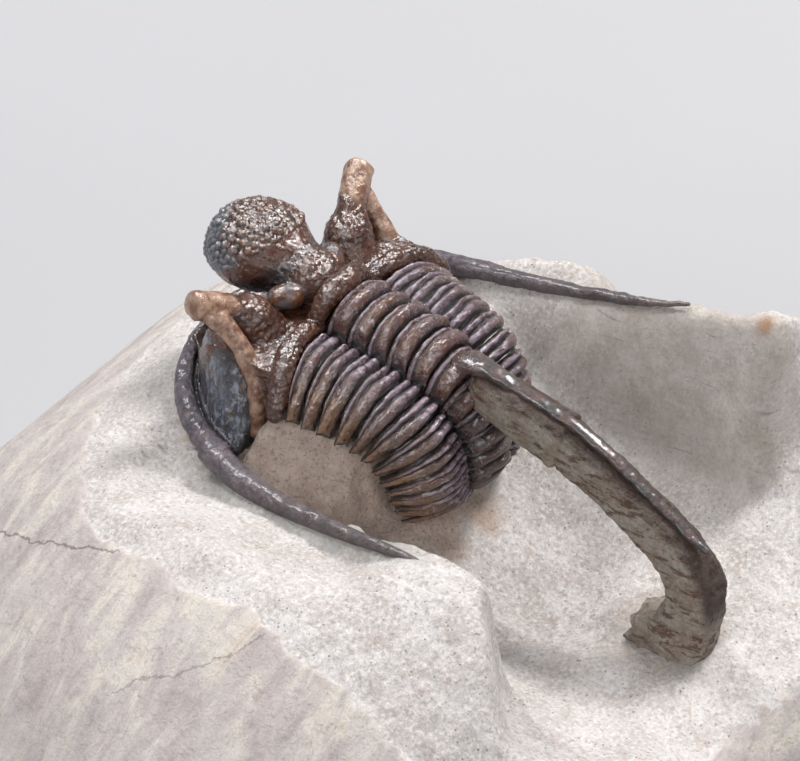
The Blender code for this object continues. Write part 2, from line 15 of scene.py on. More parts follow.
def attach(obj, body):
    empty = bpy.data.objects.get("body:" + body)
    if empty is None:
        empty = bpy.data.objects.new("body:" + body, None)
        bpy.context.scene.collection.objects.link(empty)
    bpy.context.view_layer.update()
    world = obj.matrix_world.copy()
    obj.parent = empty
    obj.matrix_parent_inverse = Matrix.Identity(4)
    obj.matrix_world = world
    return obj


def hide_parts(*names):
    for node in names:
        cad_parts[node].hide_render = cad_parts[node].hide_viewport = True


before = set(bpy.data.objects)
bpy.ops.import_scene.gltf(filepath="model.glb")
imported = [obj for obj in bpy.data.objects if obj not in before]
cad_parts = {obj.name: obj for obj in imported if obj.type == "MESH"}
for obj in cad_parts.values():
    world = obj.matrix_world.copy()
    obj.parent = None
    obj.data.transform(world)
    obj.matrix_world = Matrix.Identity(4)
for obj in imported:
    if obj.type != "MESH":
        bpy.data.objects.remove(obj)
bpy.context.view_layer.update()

MM = 0.001
SEAT = np.array((6.598, 4.738, 19.0))

RING_SPACING = 0.97
LAST_RING_SPACING = 0.66
AXIS_HALF_WIDTH = 1.5
LAST_AXIS_HALF_WIDTH = 1.0
RING_HEIGHT = 1.22
OCCIPITAL_HEIGHT = 1.45
LAST_RING_HEIGHT = 0.75
RING_LEAN = 0.45
TAIL_TURN = 88.0
TIP_REACH = 5.41
TIP_DROP = 1.3
TAIL_FAN = 0.25
AXIS_SHARE = 0.375
PLEURA_KNEE = 0.62
SPINE_SEGMENT = 6
SEGMENTS = 11

HEAD_HALF_WIDTH = 7.8
HEAD_LENGTH = 7.6
HEAD_BACK = -1.5
HEAD_UNDERSIDE = -3.6
LEFT_SPINE = ((7.0, 0.9, -3.1), (7.55, -0.75, -3.14), (7.9, -2.9, -3.02), (8.27, -6.0, -2.45),
              (8.55, -8.6, -1.8), (8.62, -10.2, -1.55), (8.6, -11.3, -1.62))
LEFT_SPINE_RADII = (0.56, 0.53, 0.44, 0.33, 0.23, 0.14, 0.05)
RIGHT_SPINE = ((7.0, 0.9, -3.1), (7.7, -1.0, -3.05), (8.25, -3.5, -2.85), (8.55, -6.0, -2.3),
               (8.8, -8.2, -1.7), (9.1, -10.0, -1.15))
RIGHT_SPINE_RADII = (0.5, 0.4, 0.32, 0.26, 0.19, 0.08)
DORSAL_ROUTE = ((-5.7, 0.0), (-6.3, 0.2), (-7.4, 0.32), (-8.6, 0.15), (-10.4, -0.1),
                (-12.3, -0.65), (-14.2, -1.6), (-16.0, -2.6), (-17.4, -3.25))
DORSAL_RADII = (0.34, 0.38, 0.29, 0.22, 0.2, 0.19, 0.18, 0.17, 0.1)
STRUT_ROUTE = ((-6.5, -0.55), (-7.35, -0.76), (-8.7, -1.02), (-10.5, -1.4), (-12.35, -2.03), (-14.2, -2.95),
               (-15.8, -3.9), (-16.75, -4.95), (-16.95, -6.2), (-16.6, -7.4), (-16.1, -8.4), (-15.7, -9.5))
STRUT_RADII = (0.75, 0.92, 1.02, 1.02, 0.98, 1.0, 1.02, 1.05, 1.04, 1.2, 1.6, 2.0)

BASE_LEVEL = -19.0
DOME_CENTRE = (-5.1, -6.6)
DOME_EQUATOR = -24.5
DOME_RADIUS = 24.0
DOME_RIGHT = 18.6
DOME_REAR_LEFT = 20.5
DOME_REAR_RIGHT = 18.0
DOME_RIM = 0.9475
RIDGE_LIFT = 4.0
RIDGE_START = -5.8
RIDGE_END = -14.0
CORNER_LIFT = 0.8
TROUGH_FLOOR = -9.3
TROUGH_HALF_WIDTH = 7.0
TROUGH_CORNER = -13.4
TROUGH_HOLLOW = 0.033
PAD_HEIGHT = 0.8
PEDESTAL_REAR_DROP = 8.0
PEDESTAL_FRONT_DROP = 2.4
PEDESTAL_FLANK = 1.05
WALL_WIDTH = 0.9
CARVE_DEPTH = 2.3
SPINE_END_SEAT = -1.4
SEAT_DROP = 0.2
LIP_SLOPE = 1.1
LIP_FALL = 0.35
LIP_REACH = 1.5
LIP_END = 6.0
LIP_LAST = 0.22
SWELL_HEIGHT = 2.1
SWELL_PLACE = (10.3, -3.0)
SWELL_SIZE = (2.2, 3.6)
LEDGE_SLOPE = 0.95
LEDGE_DROP = 0.12
LEDGE_FLAT = 0.15
LEDGE_START = 0.4
LEDGE_END = -12.0
RIGHT_CARVE_SHARE = 0.38
CORNER_PLACE = (-9.5, -13.5)
CORNER_SIZE = (4.5, 4.0)
PAD_PLACE = (0.0, -5.8)
PAD_SIZE = (3.2, 1.5)
RUBBLE_HEIGHT = 0.75
RUBBLE_PLACE = (5.9, -0.7)
RUBBLE_SIZE = (0.75, 1.1)
HEEL_HEIGHT = 0.8
HEEL_PLACE = (0.0, -15.8)
HEEL_SIZE = (4.2, 3.4)
TAN_PLACE = (-3.0, -2.0)
TAN_SIZE = (5.0, 5.6)


# Numbers and noise

def lerp(start, end, share):
    return start + (end - start) * share


def smooth(start, end, value):
    """Rise from 0 at start to 1 at end with soft ends."""
    share = np.clip((value - start) / (end - start), 0.0, 1.0)
    return share * share * (3.0 - 2.0 * share)


def bell(value, middle, width):
    return np.exp(-((value - middle) / width) ** 2)


def hill(x, y, place, size, power=2):
    """A round hill on plan, 1 at its place; a higher power gives it a flatter top."""
    return np.exp(-((x - place[0]) / size[0]) ** power - ((y - place[1]) / size[1]) ** power)


def dome(value, middle, width):
    """A rounded ridge: 1 at the middle, 0 at width from it."""
    return np.sqrt(np.clip(1.0 - ((value - middle) / width) ** 2, 0.0, 1.0))


LATTICE = np.random.default_rng(7).random((32, 32, 32)) * 2.0 - 1.0


def grain(points, size):
    """Smooth noise from -1 to 1 with features of about the given size."""
    place = np.asarray(points) / size
    cell = np.floor(place).astype(int)
    part = place - cell
    part = part * part * (3.0 - 2.0 * part)
    total = 0.0
    for corner in range(8):
        step = np.array((corner & 1, corner >> 1 & 1, corner >> 2 & 1))
        weight = np.prod(np.where(step, part, 1.0 - part), axis=-1)
        spot = (cell + step) % 32
        total = total + weight * LATTICE[spot[..., 0], spot[..., 1], spot[..., 2]]
    return total


def rough(points, size, octaves=4, fade=0.5):
    """Several sizes of noise added up."""
    points = np.asarray(points)
    total = 0.0
    strength = 1.0
    for octave in range(octaves):
        total = total + strength * grain(points + 13.7 * octave, size)
        size *= 0.5
        strength *= fade
    return total


# Shapes from numbers

def to_metres(points):
    return (np.asarray(points) + SEAT) * MM


def build(name, points, faces, masks):
    """An object from points in millimetres, its faces turned outward, with its masks kept on it."""
    mesh = bpy.data.meshes.new(name)
    mesh.from_pydata(to_metres(points).tolist(), [], faces)
    bm = bmesh.new()
    bm.from_mesh(mesh)
    if bm.calc_volume(signed=True) < 0.0:
        bmesh.ops.reverse_faces(bm, faces=bm.faces)
        bm.to_mesh(mesh)
    bm.free()
    for label, values in masks.items():
        layer = mesh.attributes.new(label, "FLOAT", "POINT")
        layer.data.foreach_set("value", np.asarray(values, dtype=np.float32).ravel())
    mesh.shade_smooth()
    mesh.update()
    obj = bpy.data.objects.new(name, mesh)
    bpy.context.scene.collection.objects.link(obj)
    return obj


def loft(rings):
    """Faces of a closed skin over rings of points, with both ends closed."""
    count, around = rings.shape[:2]
    ids = np.arange(count * around).reshape(count, around)
    near = ids[:-1]
    far = ids[1:]
    faces = np.stack([near, np.roll(near, -1, 1), np.roll(far, -1, 1), far], -1).reshape(-1, 4).tolist()
    faces.append(ids[0][::-1].tolist())
    faces.append(ids[-1].tolist())
    return faces


def join_shapes(shapes):
    """Several (points, faces, masks) as one."""
    points = []
    faces = []
    masks = {}
    shift = 0
    for some_points, some_faces, some_masks in shapes:
        points.append(some_points.reshape(-1, 3))
        faces += [[corner + shift for corner in face] for face in some_faces]
        shift += len(points[-1])
        for label, values in some_masks.items():
            masks.setdefault(label, []).append(np.asarray(values).ravel())
    return np.concatenate(points), faces, {label: np.concatenate(parts) for label, parts in masks.items()}


def curve_points(route, count):
    """Evenly counted points on a Catmull-Rom curve through the route's points."""
    route = np.array(route, dtype=float)
    padded = np.vstack([2 * route[0] - route[1], route, 2 * route[-1] - route[-2]])
    place = np.linspace(0.0, len(route) - 1.000001, count)
    index = place.astype(int)
    share = (place - index)[:, None]
    before, start, end, after = (padded[index + shift] for shift in range(4))
    return 0.5 * (2 * start + (end - before) * share
                  + (2 * before - 5 * start + 4 * end - after) * share ** 2
                  + (3 * start - before - 3 * end + after) * share ** 3)


def rod_rings(route, radii, count, around, flatten, power):
    """Rings of a tapered rod: across the route and, in the second direction, as upright as it can be."""
    centres = curve_points(route, count)
    widths = curve_points([(radius, 0.0, 0.0) for radius in radii], count)[:, 0]
    ahead = np.gradient(centres, axis=0)
    ahead /= np.linalg.norm(ahead, axis=1)[:, None]
    across = np.cross(ahead, (0.0, 0.0, 1.0))
    across /= np.linalg.norm(across, axis=1)[:, None]
    turned = np.cumprod(np.sign(np.sum(across[1:] * across[:-1], axis=1)))
    across[1:] *= turned[:, None]
    upright = np.cross(across, ahead)
    angle = np.linspace(0.0, 2.0 * math.pi, around, endpoint=False)
    round_x = np.sign(np.cos(angle)) * np.abs(np.cos(angle)) ** (2.0 / power)
    round_z = np.sign(np.sin(angle)) * np.abs(np.sin(angle)) ** (2.0 / power)
    rings = (centres[:, None] + widths[:, None, None]
             * (flatten[0] * round_x[None, :, None] * across[:, None]
                + flatten[1] * round_z[None, :, None] * upright[:, None]))
    return rings, centres, angle


# Solid forms from distances, turned into a mesh

def ellipsoid(points, centre, radii):
    local = points - np.array(centre, dtype=np.float32)
    near = np.linalg.norm(local / np.array(radii, dtype=np.float32), axis=-1)
    far = np.linalg.norm(local / np.array(radii, dtype=np.float32) ** 2, axis=-1)
    return near * (near - 1.0) / np.maximum(far, 1e-6)


def turned_ellipsoid(points, centre, radii, turn):
    """An ellipsoid turned about the upright line, in degrees."""
    local = points - np.array(centre, dtype=np.float32)
    cosine = math.cos(math.radians(turn))
    sine = math.sin(math.radians(turn))
    turned = np.stack([local[..., 0] * cosine + local[..., 1] * sine,
                       local[..., 1] * cosine - local[..., 0] * sine, local[..., 2]], -1)
    return ellipsoid(turned, (0.0, 0.0, 0.0), radii)


def chain(points, route, radii):
    """Distance to a string of tapered rods with round joints."""
    result = np.full(points.shape[:-1], 1e3, dtype=np.float32)
    for index in range(len(route) - 1):
        start = np.array(route[index], dtype=np.float32)
        along = np.array(route[index + 1], dtype=np.float32) - start
        local = points - start
        share = np.clip(local @ along / float(along @ along), 0.0, 1.0)
        away = np.linalg.norm(local - share[..., None] * along, axis=-1)
        result = np.minimum(result, away - lerp(radii[index], radii[index + 1], share))
    return result


def melt(first, second, width):
    """Join two forms with a soft joint of the given width."""
    share = np.maximum(width - np.abs(first - second), 0.0) / width
    return np.minimum(first, second) - share * share * width * 0.25


CORNERS = [(0, 0, 0), (1, 0, 0), (0, 1, 0), (1, 1, 0), (0, 0, 1), (1, 0, 1), (0, 1, 1), (1, 1, 1)]
CORNER_PAIRS = [(0, 1), (2, 3), (4, 5), (6, 7), (0, 2), (1, 3),
                (4, 6), (5, 7), (0, 4), (1, 5), (2, 6), (3, 7)]


def surface_net(field, origin, step):
    """Points and four-sided faces of the surface where the field changes sign."""
    inside = field < 0.0
    shape = tuple(size - 1 for size in field.shape)
    count = np.zeros(shape, dtype=np.int8)
    for corner in CORNERS:
        count += inside[tuple(slice(shift, shift + size) for shift, size in zip(corner, shape))]
    cells = np.argwhere((count > 0) & (count < 8))
    total = np.zeros((len(cells), 3))
    crossings = np.zeros(len(cells))
    values = [field[tuple((cells + corner).T)] for corner in CORNERS]
    for first, second in CORNER_PAIRS:
        start = values[first]
        end = values[second]
        crossed = (start < 0.0) != (end < 0.0)
        share = np.where(crossed, start / np.where(crossed, start - end, 1.0), 0.0)
        base = np.array(CORNERS[first], dtype=float)
        spot = base + share[:, None] * (np.array(CORNERS[second]) - base)
        total += spot * crossed[:, None]
        crossings += crossed
    points = np.array(origin) + step * (cells + total / crossings[:, None])
    ids = np.full(shape, -1, dtype=np.int64)
    ids[tuple(cells.T)] = np.arange(len(cells))
    faces = []
    for axis in range(3):
        second = (axis + 1) % 3
        third = (axis + 2) % 3
        lower = [slice(None)] * 3
        upper = [slice(None)] * 3
        lower[axis] = slice(0, -1)
        upper[axis] = slice(1, None)
        start = inside[tuple(lower)]
        change = start != inside[tuple(upper)]
        spots = np.argwhere(change)
        ok = ((spots[:, second] > 0) & (spots[:, third] > 0)
              & (spots[:, second] < shape[second]) & (spots[:, third] < shape[third]))
        spots = spots[ok]
        outward = start[tuple(spots.T)]
        corners = []
        for back_second, back_third in ((1, 1), (0, 1), (0, 0), (1, 0)):
            cell = spots.copy()
            cell[:, second] -= back_second
            cell[:, third] -= back_third
            corners.append(ids[tuple(cell.T)])
        quads = np.stack(corners, 1)
        quads[~outward] = quads[~outward][:, ::-1]
        faces.append(quads)
    return points, np.concatenate(faces)


def point_normals(points, quads):
    normal = np.cross(points[quads[:, 2]] - points[quads[:, 0]], points[quads[:, 3]] - points[quads[:, 1]])
    total = np.zeros_like(points)
    for corner in range(4):
        np.add.at(total, quads[:, corner], normal)
    return total / np.maximum(np.linalg.norm(total, axis=1), 1e-9)[:, None]


def relax(points, quads, times, share):
    """Even out a mesh by moving each point towards its neighbours."""
    edges = np.concatenate([quads[:, [corner, (corner + 1) % 4]] for corner in range(4)])
    degree = np.bincount(edges.ravel(), minlength=len(points))[:, None]
    for _ in range(times):
        total = np.zeros_like(points)
        np.add.at(total, edges[:, 0], points[edges[:, 1]])
        np.add.at(total, edges[:, 1], points[edges[:, 0]])
        points = lerp(points, total / degree, share)
    return points


def throw_warts(points, radius, seed):
    """Wart centres on a surface, no two closer than their radii allow; radius 0 keeps a place bare."""
    chooser = np.random.default_rng(seed)
    order = chooser.permutation(len(points))
    sizes = radius * chooser.uniform(0.72, 1.25, len(points))
    cell = 2.6 * float(radius.max())
    kept = {}
    centres = []
    widths = []
    for index in order:
        width = sizes[index]
        if radius[index] <= 0.0:
            continue
        spot = points[index]
        key = tuple((spot // cell).astype(int))
        free = True
        for dx in (-1, 0, 1):
            for dy in (-1, 0, 1):
                for dz in (-1, 0, 1):
                    for other in kept.get((key[0] + dx, key[1] + dy, key[2] + dz), ()):
                        away = spot - centres[other]
                        if away @ away < (0.93 * (width + widths[other])) ** 2:
                            free = False
                            break
        if free:
            kept.setdefault(key, []).append(len(centres))
            centres.append(spot)
            widths.append(width)
    return np.array(centres), np.array(widths)


def wart_heights(points, centres, widths):
    """Height of the nearest wart's cap over every point, as a share of its radius."""
    tree = kdtree.KDTree(len(centres))
    for index, centre in enumerate(centres):
        tree.insert(centre, index)
    tree.balance()
    result = np.zeros(len(points))
    for index, point in enumerate(points):
        _, nearest, away = tree.find(point)
        width = widths[nearest]
        if away < width:
            result[index] = math.sqrt(1.0 - (away / width) ** 2) * width
    return result


# The line that the body follows

TABLE_T = np.linspace(-1.5, 14.5, 3201)


def pitch_at(t):
    return np.radians(5.0 + TAIL_TURN * smooth(2.5, 11.3, t))


def spacing_at(t):
    return lerp(RING_SPACING, LAST_RING_SPACING, smooth(4.0, 11.0, t))


def running_total(values):
    step = TABLE_T[1] - TABLE_T[0]
    total = np.concatenate([[0.0], np.cumsum(0.5 * (values[1:] + values[:-1]) * step)])
    return total - np.interp(0.0, TABLE_T, total)


TABLE_Y = running_total(-np.cos(pitch_at(TABLE_T)) * spacing_at(TABLE_T))
TABLE_Z = running_total(-np.sin(pitch_at(TABLE_T)) * spacing_at(TABLE_T))


def body_point(x, t, height, back):
    y = np.interp(t, TABLE_T, TABLE_Y)
    z = np.interp(t, TABLE_T, TABLE_Z)
    pitch = pitch_at(t)
    return np.stack([x, y - np.sin(pitch) * height - np.cos(pitch) * back,
                     z + np.cos(pitch) * height - np.sin(pitch) * back], -1)


def outward(side):
    return np.clip((side - AXIS_SHARE) / (1.0 - AXIS_SHARE), 0.0, None)


def body_height(side, t):
    """Place across and height of the body surface; side runs from 0 on the axis to 1 at the tip."""
    half_axis = lerp(AXIS_HALF_WIDTH, LAST_AXIS_HALF_WIDTH, smooth(3.0, 11.0, t))
    crest = lerp(RING_HEIGHT, LAST_RING_HEIGHT, smooth(6.0, 11.0, t))
    crest = crest + (OCCIPITAL_HEIGHT - RING_HEIGHT) * (1.0 - smooth(0.0, 0.9, t))
    angle = 0.5 * math.pi * np.minimum(side / AXIS_SHARE, 1.0)
    out = outward(side)
    reach = TIP_REACH - 0.14 * t - 0.03 * np.maximum(0.0, t - 7.0) ** 2
    rise = lerp(0.3, 0.5, smooth(0.0, 6.0, t)) - 0.28 * smooth(6.0, 11.0, t)
    drop = TIP_DROP + 0.04 * t - 0.1 * np.maximum(0.0, t - 8.0)
    fall = np.clip((out - 0.5 * PLEURA_KNEE) / (1.0 - 0.5 * PLEURA_KNEE), 0.0, None)
    fall = ((fall ** 2 + 0.02) ** 1.05 - 0.02 ** 1.05) / (1.02 ** 1.05 - 0.02 ** 1.05)
    level = rise * np.sin(0.5 * math.pi * np.minimum(out / PLEURA_KNEE, 1.0))
    flank = level - (rise + drop) * fall
    on_axis = side <= AXIS_SHARE
    across = np.where(on_axis, half_axis * np.sin(angle), lerp(half_axis, reach, out))
    height = np.where(on_axis, crest * np.maximum(np.cos(angle), 0.0) ** 0.8, flank)
    return across, height


def body_sweep(side, t):
    crest = -RING_LEAN * smooth(1.0, 6.0, t) * (1.0 - (side / AXIS_SHARE) ** 2)
    flank = outward(side) ** 2 * (np.maximum(0.0, 1.0 - t / 3.0) + TAIL_FAN * np.maximum(0.0, t - 6.0))
    return np.where(side < AXIS_SHARE, crest, flank)


# Body rings

COLUMNS = 241
TOP_ROWS = 33
UNDER_ROWS = 5
TAIL_COLUMNS = 201
TAIL_ROWS = 57
SPINE_RINGS = 300
SPINE_SIDES = 32
GROOVE_DEPTH = 0.22


def ring_relief(side, v, t):
    """Height of the line, groove and band of one segment, and the masks for its finish."""
    rear = smooth(7.0, 11.0, t)
    axis_line = dome(v, -0.76, 0.22)
    axis_band = dome(v, 0.24, 0.7)
    out = outward(side)
    side_line = dome(v, -0.56, lerp(0.4, 0.24, smooth(0.25, 0.7, out))) ** 1.7
    side_band = dome(v, 0.36, lerp(0.5, 0.64, smooth(0.25, 0.7, out)))
    side_band = side_band ** lerp(1.7, 1.1, smooth(0.3, 0.8, out))
    on_side = smooth(AXIS_SHARE - 0.03, AXIS_SHARE + 0.035, side)
    tip = smooth(0.86, 1.0, side)
    line = lerp(axis_line, side_line * (1.0 - 0.7 * tip), on_side)
    band = lerp(axis_band, side_band, on_side)
    height = lerp(0.17, 0.29, on_side) * line + lerp(0.46, 0.32, on_side) * band
    height = height - lerp(0.32, GROOVE_DEPTH, on_side)
    height = height * lerp(1.0, 0.8, rear)
    pit = bell(side, AXIS_SHARE + 0.01, 0.032) * (0.3 + 0.7 * (1.0 - axis_band))
    height = height - 0.42 * pit * lerp(1.0, 0.5, rear)
    height = height + 0.09 * bell(side, 0.305, 0.045) * axis_band
    height = height + 0.05 * bell(side, AXIS_SHARE + 0.08, 0.045) * np.maximum(side_band, side_line)
    height = height - 0.1 * tip * np.abs(v) ** 3
    # painted shade: the grooves between line and band and the axial furrow are marked to be darkened in
    # colour
    painted_shade_and_dark_tone = np.clip(1.0 - np.maximum(line, band) * 1.3, 0.0, 1.0)
    painted_shade_and_dark_tone = np.maximum(painted_shade_and_dark_tone, np.clip(1.8 * bell(side, AXIS_SHARE + 0.01, 0.024), 0.0, 1.0))
    return height, line, band, painted_shade_and_dark_tone


def plate_grid(across, rows):
    """Across and along values over a plate and back below it, and 1 where a point is below."""
    along = np.concatenate([np.linspace(-1.0, 1.0, rows), np.linspace(1.0, -1.0, UNDER_ROWS)])
    below = np.concatenate([np.zeros(rows), np.ones(UNDER_ROWS)])
    across, along = np.meshgrid(across, along, indexing="ij")
    return across, along, np.broadcast_to(below, across.shape)


def segment_shape(index):
    """Points, faces and masks of one ring with its side ribs."""
    spread = np.linspace(-1.0, 1.0, COLUMNS)
    u, v, below = plate_grid(np.sign(spread) * np.abs(spread) ** 0.96, TOP_ROWS)
    side = np.abs(u)
    narrow = 1.0 - 0.2 * smooth(0.82, 1.0, side)
    wander = 0.09 * rough(np.stack([u * 4.0, v * 0.0 + index * 3.1, v * 0.6], -1), 1.0, 3)
    t = index + (v * narrow + wander * smooth(0.1, 0.4, side) * (1.0 - np.abs(v))) * 0.475
    across, height = body_height(side, t)
    relief, line, band, painted_shade_and_dark_tone = ring_relief(side, v, t)
    rounding = (0.3 * v * v + 0.12 * v ** 4) * smooth(0.86, 1.0, side)
    edge = np.abs(v) ** 8
    height = height + relief * (1.0 - below) - 0.06 * edge - below * lerp(0.55, 0.2, outward(side) ** 2)
    tip_round = smooth(0.93, 1.0, side) ** 2
    height = height - 0.16 * tip_round * (1.0 - below)
    points = body_point(np.sign(u) * (across - rounding), t, height, body_sweep(side, t))
    bumps = 0.05 * rough(points, 0.42, 3) + 0.022 * grain(points, 0.13) + 0.04 * rough(points + 5.0, 1.6, 2)
    points[..., 2] += bumps * (1.0 - below)
    # painted shadow: the "tail" mask darkens the axis of the rear rings, where the strut shades it
    # the underside joins the painted shade mask and is darkened in colour
    masks = {"line": line * (1.0 - below), "band": band * (1.0 - below), "painted_shade_and_dark_tone": np.maximum(painted_shade_and_dark_tone, below),
             "flank": side, "tail": smooth(6.4, 8.2, t) * smooth(0.5, 0.3, side), "dull": 0.0 * side}
    return points, loft(points), masks


def make_segment(index):
    name = "body_ring_%02d" % index
    shapes = [segment_shape(index)]
    if index == SPINE_SEGMENT:
        shapes.append(spine_shape())
    points, faces, masks = join_shapes(shapes)
    obj = build(name, points, faces, masks)
    dress(obj, "thoracic_segment_%02d" % index, SHELL)


def spine_shape():
    """The long spine that grew from the sixth ring, split lengthways by a pale line."""
    route = [(0.0, y, z) for y, z in DORSAL_ROUTE]
    rings, _, angle = rod_rings(route, DORSAL_RADII, SPINE_RINGS, SPINE_SIDES, (1.35, 0.8), 2.6)
    rings = rings + 0.05 * rough(rings, 0.5, 4)[..., None] * np.array((1.0, 0.3, 0.6))
    rings[..., 2] -= 0.12 * smooth(6.5, 8.5, -rings[..., 1])
    seam = np.broadcast_to(bell(angle, math.radians(70.0), 0.22), rings.shape[:2])
    flat = np.zeros(rings.shape[:2])
    dark = 0.5 + 0.35 * rough(rings, 0.45, 3)
    # on the spine the painted shade mask carries the spine's own mottled dark tone, not shade
    masks = {"line": seam * 0.3, "band": flat + 0.3, "painted_shade_and_dark_tone": dark, "flank": flat + 0.15, "tail": flat,
             "dull": flat + smooth(6.3, 7.2, -rings[..., 1])}
    return rings, loft(rings), masks


def make_pygidium():
    """The tail shield: its own short axis and ribs, with a rounded rear edge."""
    first = SEGMENTS + 0.5 + 0.03
    u, v, below = plate_grid(np.linspace(-1.0, 1.0, TAIL_COLUMNS), TAIL_ROWS)
    side = np.abs(u)
    back = 0.5 * (v + 1.0)
    t = first + 1.1 * back
    across, height = body_height(side, t)
    across = across * np.sqrt(np.maximum(0.0, 1.0 - (0.86 * back) ** 2))
    height = height * (1.0 - 0.5 * back)
    wave = np.cos(6.0 * math.pi * back)
    height = height + 0.06 * wave * (1.0 - 0.6 * back) * (1.0 - below)
    height = height - 0.12 * bell(side, AXIS_SHARE, 0.03) * (1.0 - back) * (1.0 - below)
    height = height - below * lerp(0.45, 0.2, side) - 0.12 * smooth(0.9, 1.0, back) * (1.0 - below)
    points = body_point(np.sign(u) * across, t, height, body_sweep(side, t) * (1.0 - 0.55 * back))
    points[..., 2] += 0.012 * rough(points, 0.4, 3) * (1.0 - below)
    # painted shade: the troughs between the tail shield's ribs and its underside are darkened in colour
    # painted shadow: the "tail" mask darkens the tail shield's axis, where the strut shades it
    masks = {"line": 0.4 * np.clip(wave, 0.0, 1.0), "band": np.clip(0.5 + 0.5 * wave, 0.0, 1.0),
             "painted_shade_and_dark_tone": np.maximum(0.7 * np.clip(-wave, 0.0, 1.0) * (1.0 - back), below),
             "flank": side, "tail": smooth(0.5, 0.3, side), "dull": 0.0 * side}
    obj = build("tail_shield", points.reshape(-1, 3), loft(points), masks)
    dress(obj, "pygidium", SHELL)


# The head

def head_outline(x):
    return HEAD_BACK + HEAD_LENGTH * np.sqrt(np.maximum(0.0, 1.0 - (x / HEAD_HALF_WIDTH) ** 2))


def suture_half_width(y):
    return lerp(4.75, 2.3, smooth(2.6, 5.8, y))


def head_height(x, y):
    base = lerp(-0.2, -3.35, smooth(2.3, 5.4, y))
    return base + 0.5 * np.exp(-((head_outline(x) - 0.4 - y) / 0.35) ** 2)


HEAD_STEP = 0.055
HEAD_LOW = (0.0, -1.62, -3.7)
HEAD_HIGH = (5.95, 6.3, 2.75)
STRAP_ROUTE = ((4.98, 2.95, 1.68), (4.8, 2.45, 1.32), (4.6, 1.95, 0.84), (4.52, 1.4, 0.22),
               (4.56, 0.92, -0.42), (4.68, 0.52, -1.15), (4.86, 0.3, -1.85), (5.02, 0.18, -2.6),
               (5.1, 0.1, -3.1))
STRAP_RADII = (0.46, 0.42, 0.4, 0.38, 0.36, 0.34, 0.32, 0.32, 0.34)
RIGHT_STRAP = ((4.55, 2.75, 1.15), (4.72, 2.42, 0.82), (4.62, 1.95, 0.45), (4.54, 1.4, -0.05),
               (4.56, 0.92, -0.62), (4.68, 0.52, -1.25), (4.86, 0.3, -1.9), (5.02, 0.18, -2.6),
               (5.1, 0.1, -3.1))
LEFT_HORN = ((3.2, 2.05, 0.25), (3.72, 2.36, 0.9), (4.35, 2.65, 1.42), (5.3, 3.0, 1.86))
RIGHT_HORN = ((3.2, 2.05, 0.25), (3.68, 2.36, 0.9), (4.2, 2.62, 1.3), (5.15, 3.05, 1.78))
LOBE_CENTRE = (1.38, 1.47, 0.45)
LOBE_RADII = (0.88, 0.5, 0.52)
LOBE_TURN = 38.5
BALL_CENTRE = (0.0, 3.98, 0.85)
BALL_RADII = (2.08, 2.08, 1.64)
NECK_CENTRE = (0.0, 1.8, 0.62)
NECK_RADII = (1.2, 1.65, 1.1)
BORDER_ROUTE = ((1.5, 0.0, -0.18), (2.3, -0.04, 0.0), (3.2, -0.18, 0.03), (4.0, -0.42, -0.08),
                (4.6, -0.66, -0.52), (5.1, -0.86, -1.2), (5.32, -0.95, -1.6))
BORDER_RADII = (0.34, 0.4, 0.43, 0.43, 0.42, 0.38, 0.28)
MOUND_ROUTE = ((2.85, 1.78, -0.6), (3.12, 1.98, 0.22))
MOUND_RADII = (1.28, 0.92)
HORN_RADII = (0.84, 0.6, 0.55, 0.58)
ARCH_ROUTE = ((1.5, 0.12, -0.15), (1.28, 0.0, 0.5), (0.82, -0.12, 0.98), (0.3, -0.2, 1.17),
              (0.0, -0.21, 1.19))
ARCH_RADII = (0.34, 0.4, 0.43, 0.45, 0.45)
LOWEST = HEAD_UNDERSIDE + 0.02
CHEEK_COLUMNS = 210


def head_field(points, horn_route, strap_route):
    """Distance to the head between the sutures, for one half; x is never negative."""
    x = points[..., 0]
    y = points[..., 1]
    z = points[..., 2]
    slope = (z - head_height(x, y)) * 0.62
    slope = np.maximum(slope, (x - suture_half_width(y)) * 0.9)
    slope = np.maximum(slope, y - head_outline(x) + 0.02)
    slope = np.maximum(slope, 0.2 - 0.75 * (x / 4.75) ** 2 - y)
    field = melt(slope, chain(points, BORDER_ROUTE, BORDER_RADII), 0.08)
    mound = chain(points, MOUND_ROUTE, MOUND_RADII)
    horn = chain(points, horn_route, HORN_RADII)
    stump = (x - 5.0) * 0.87 + (y - 2.93) * 0.33 + (z - 1.74) * 0.36 - 0.36 + 0.1 * grain(points, 0.6)
    horn = -melt(-horn, -stump, 0.12)
    field = melt(field, melt(mound, horn, 0.35), 0.14)
    strap = chain(points, strap_route, STRAP_RADII)
    field = melt(field, strap, 0.1)
    neck = ellipsoid(points, NECK_CENTRE, NECK_RADII)
    ball = ellipsoid(points, BALL_CENTRE, BALL_RADII)
    lobe = turned_ellipsoid(points, LOBE_CENTRE, LOBE_RADII, LOBE_TURN)
    arch = chain(points, ARCH_ROUTE, ARCH_RADII)
    middle = melt(ball, neck, 0.6)
    middle = melt(middle, lobe, 0.04)
    middle = melt(middle, arch, 0.05)
    field = melt(field, middle, 0.05)
    return np.maximum(field, LOWEST - z)


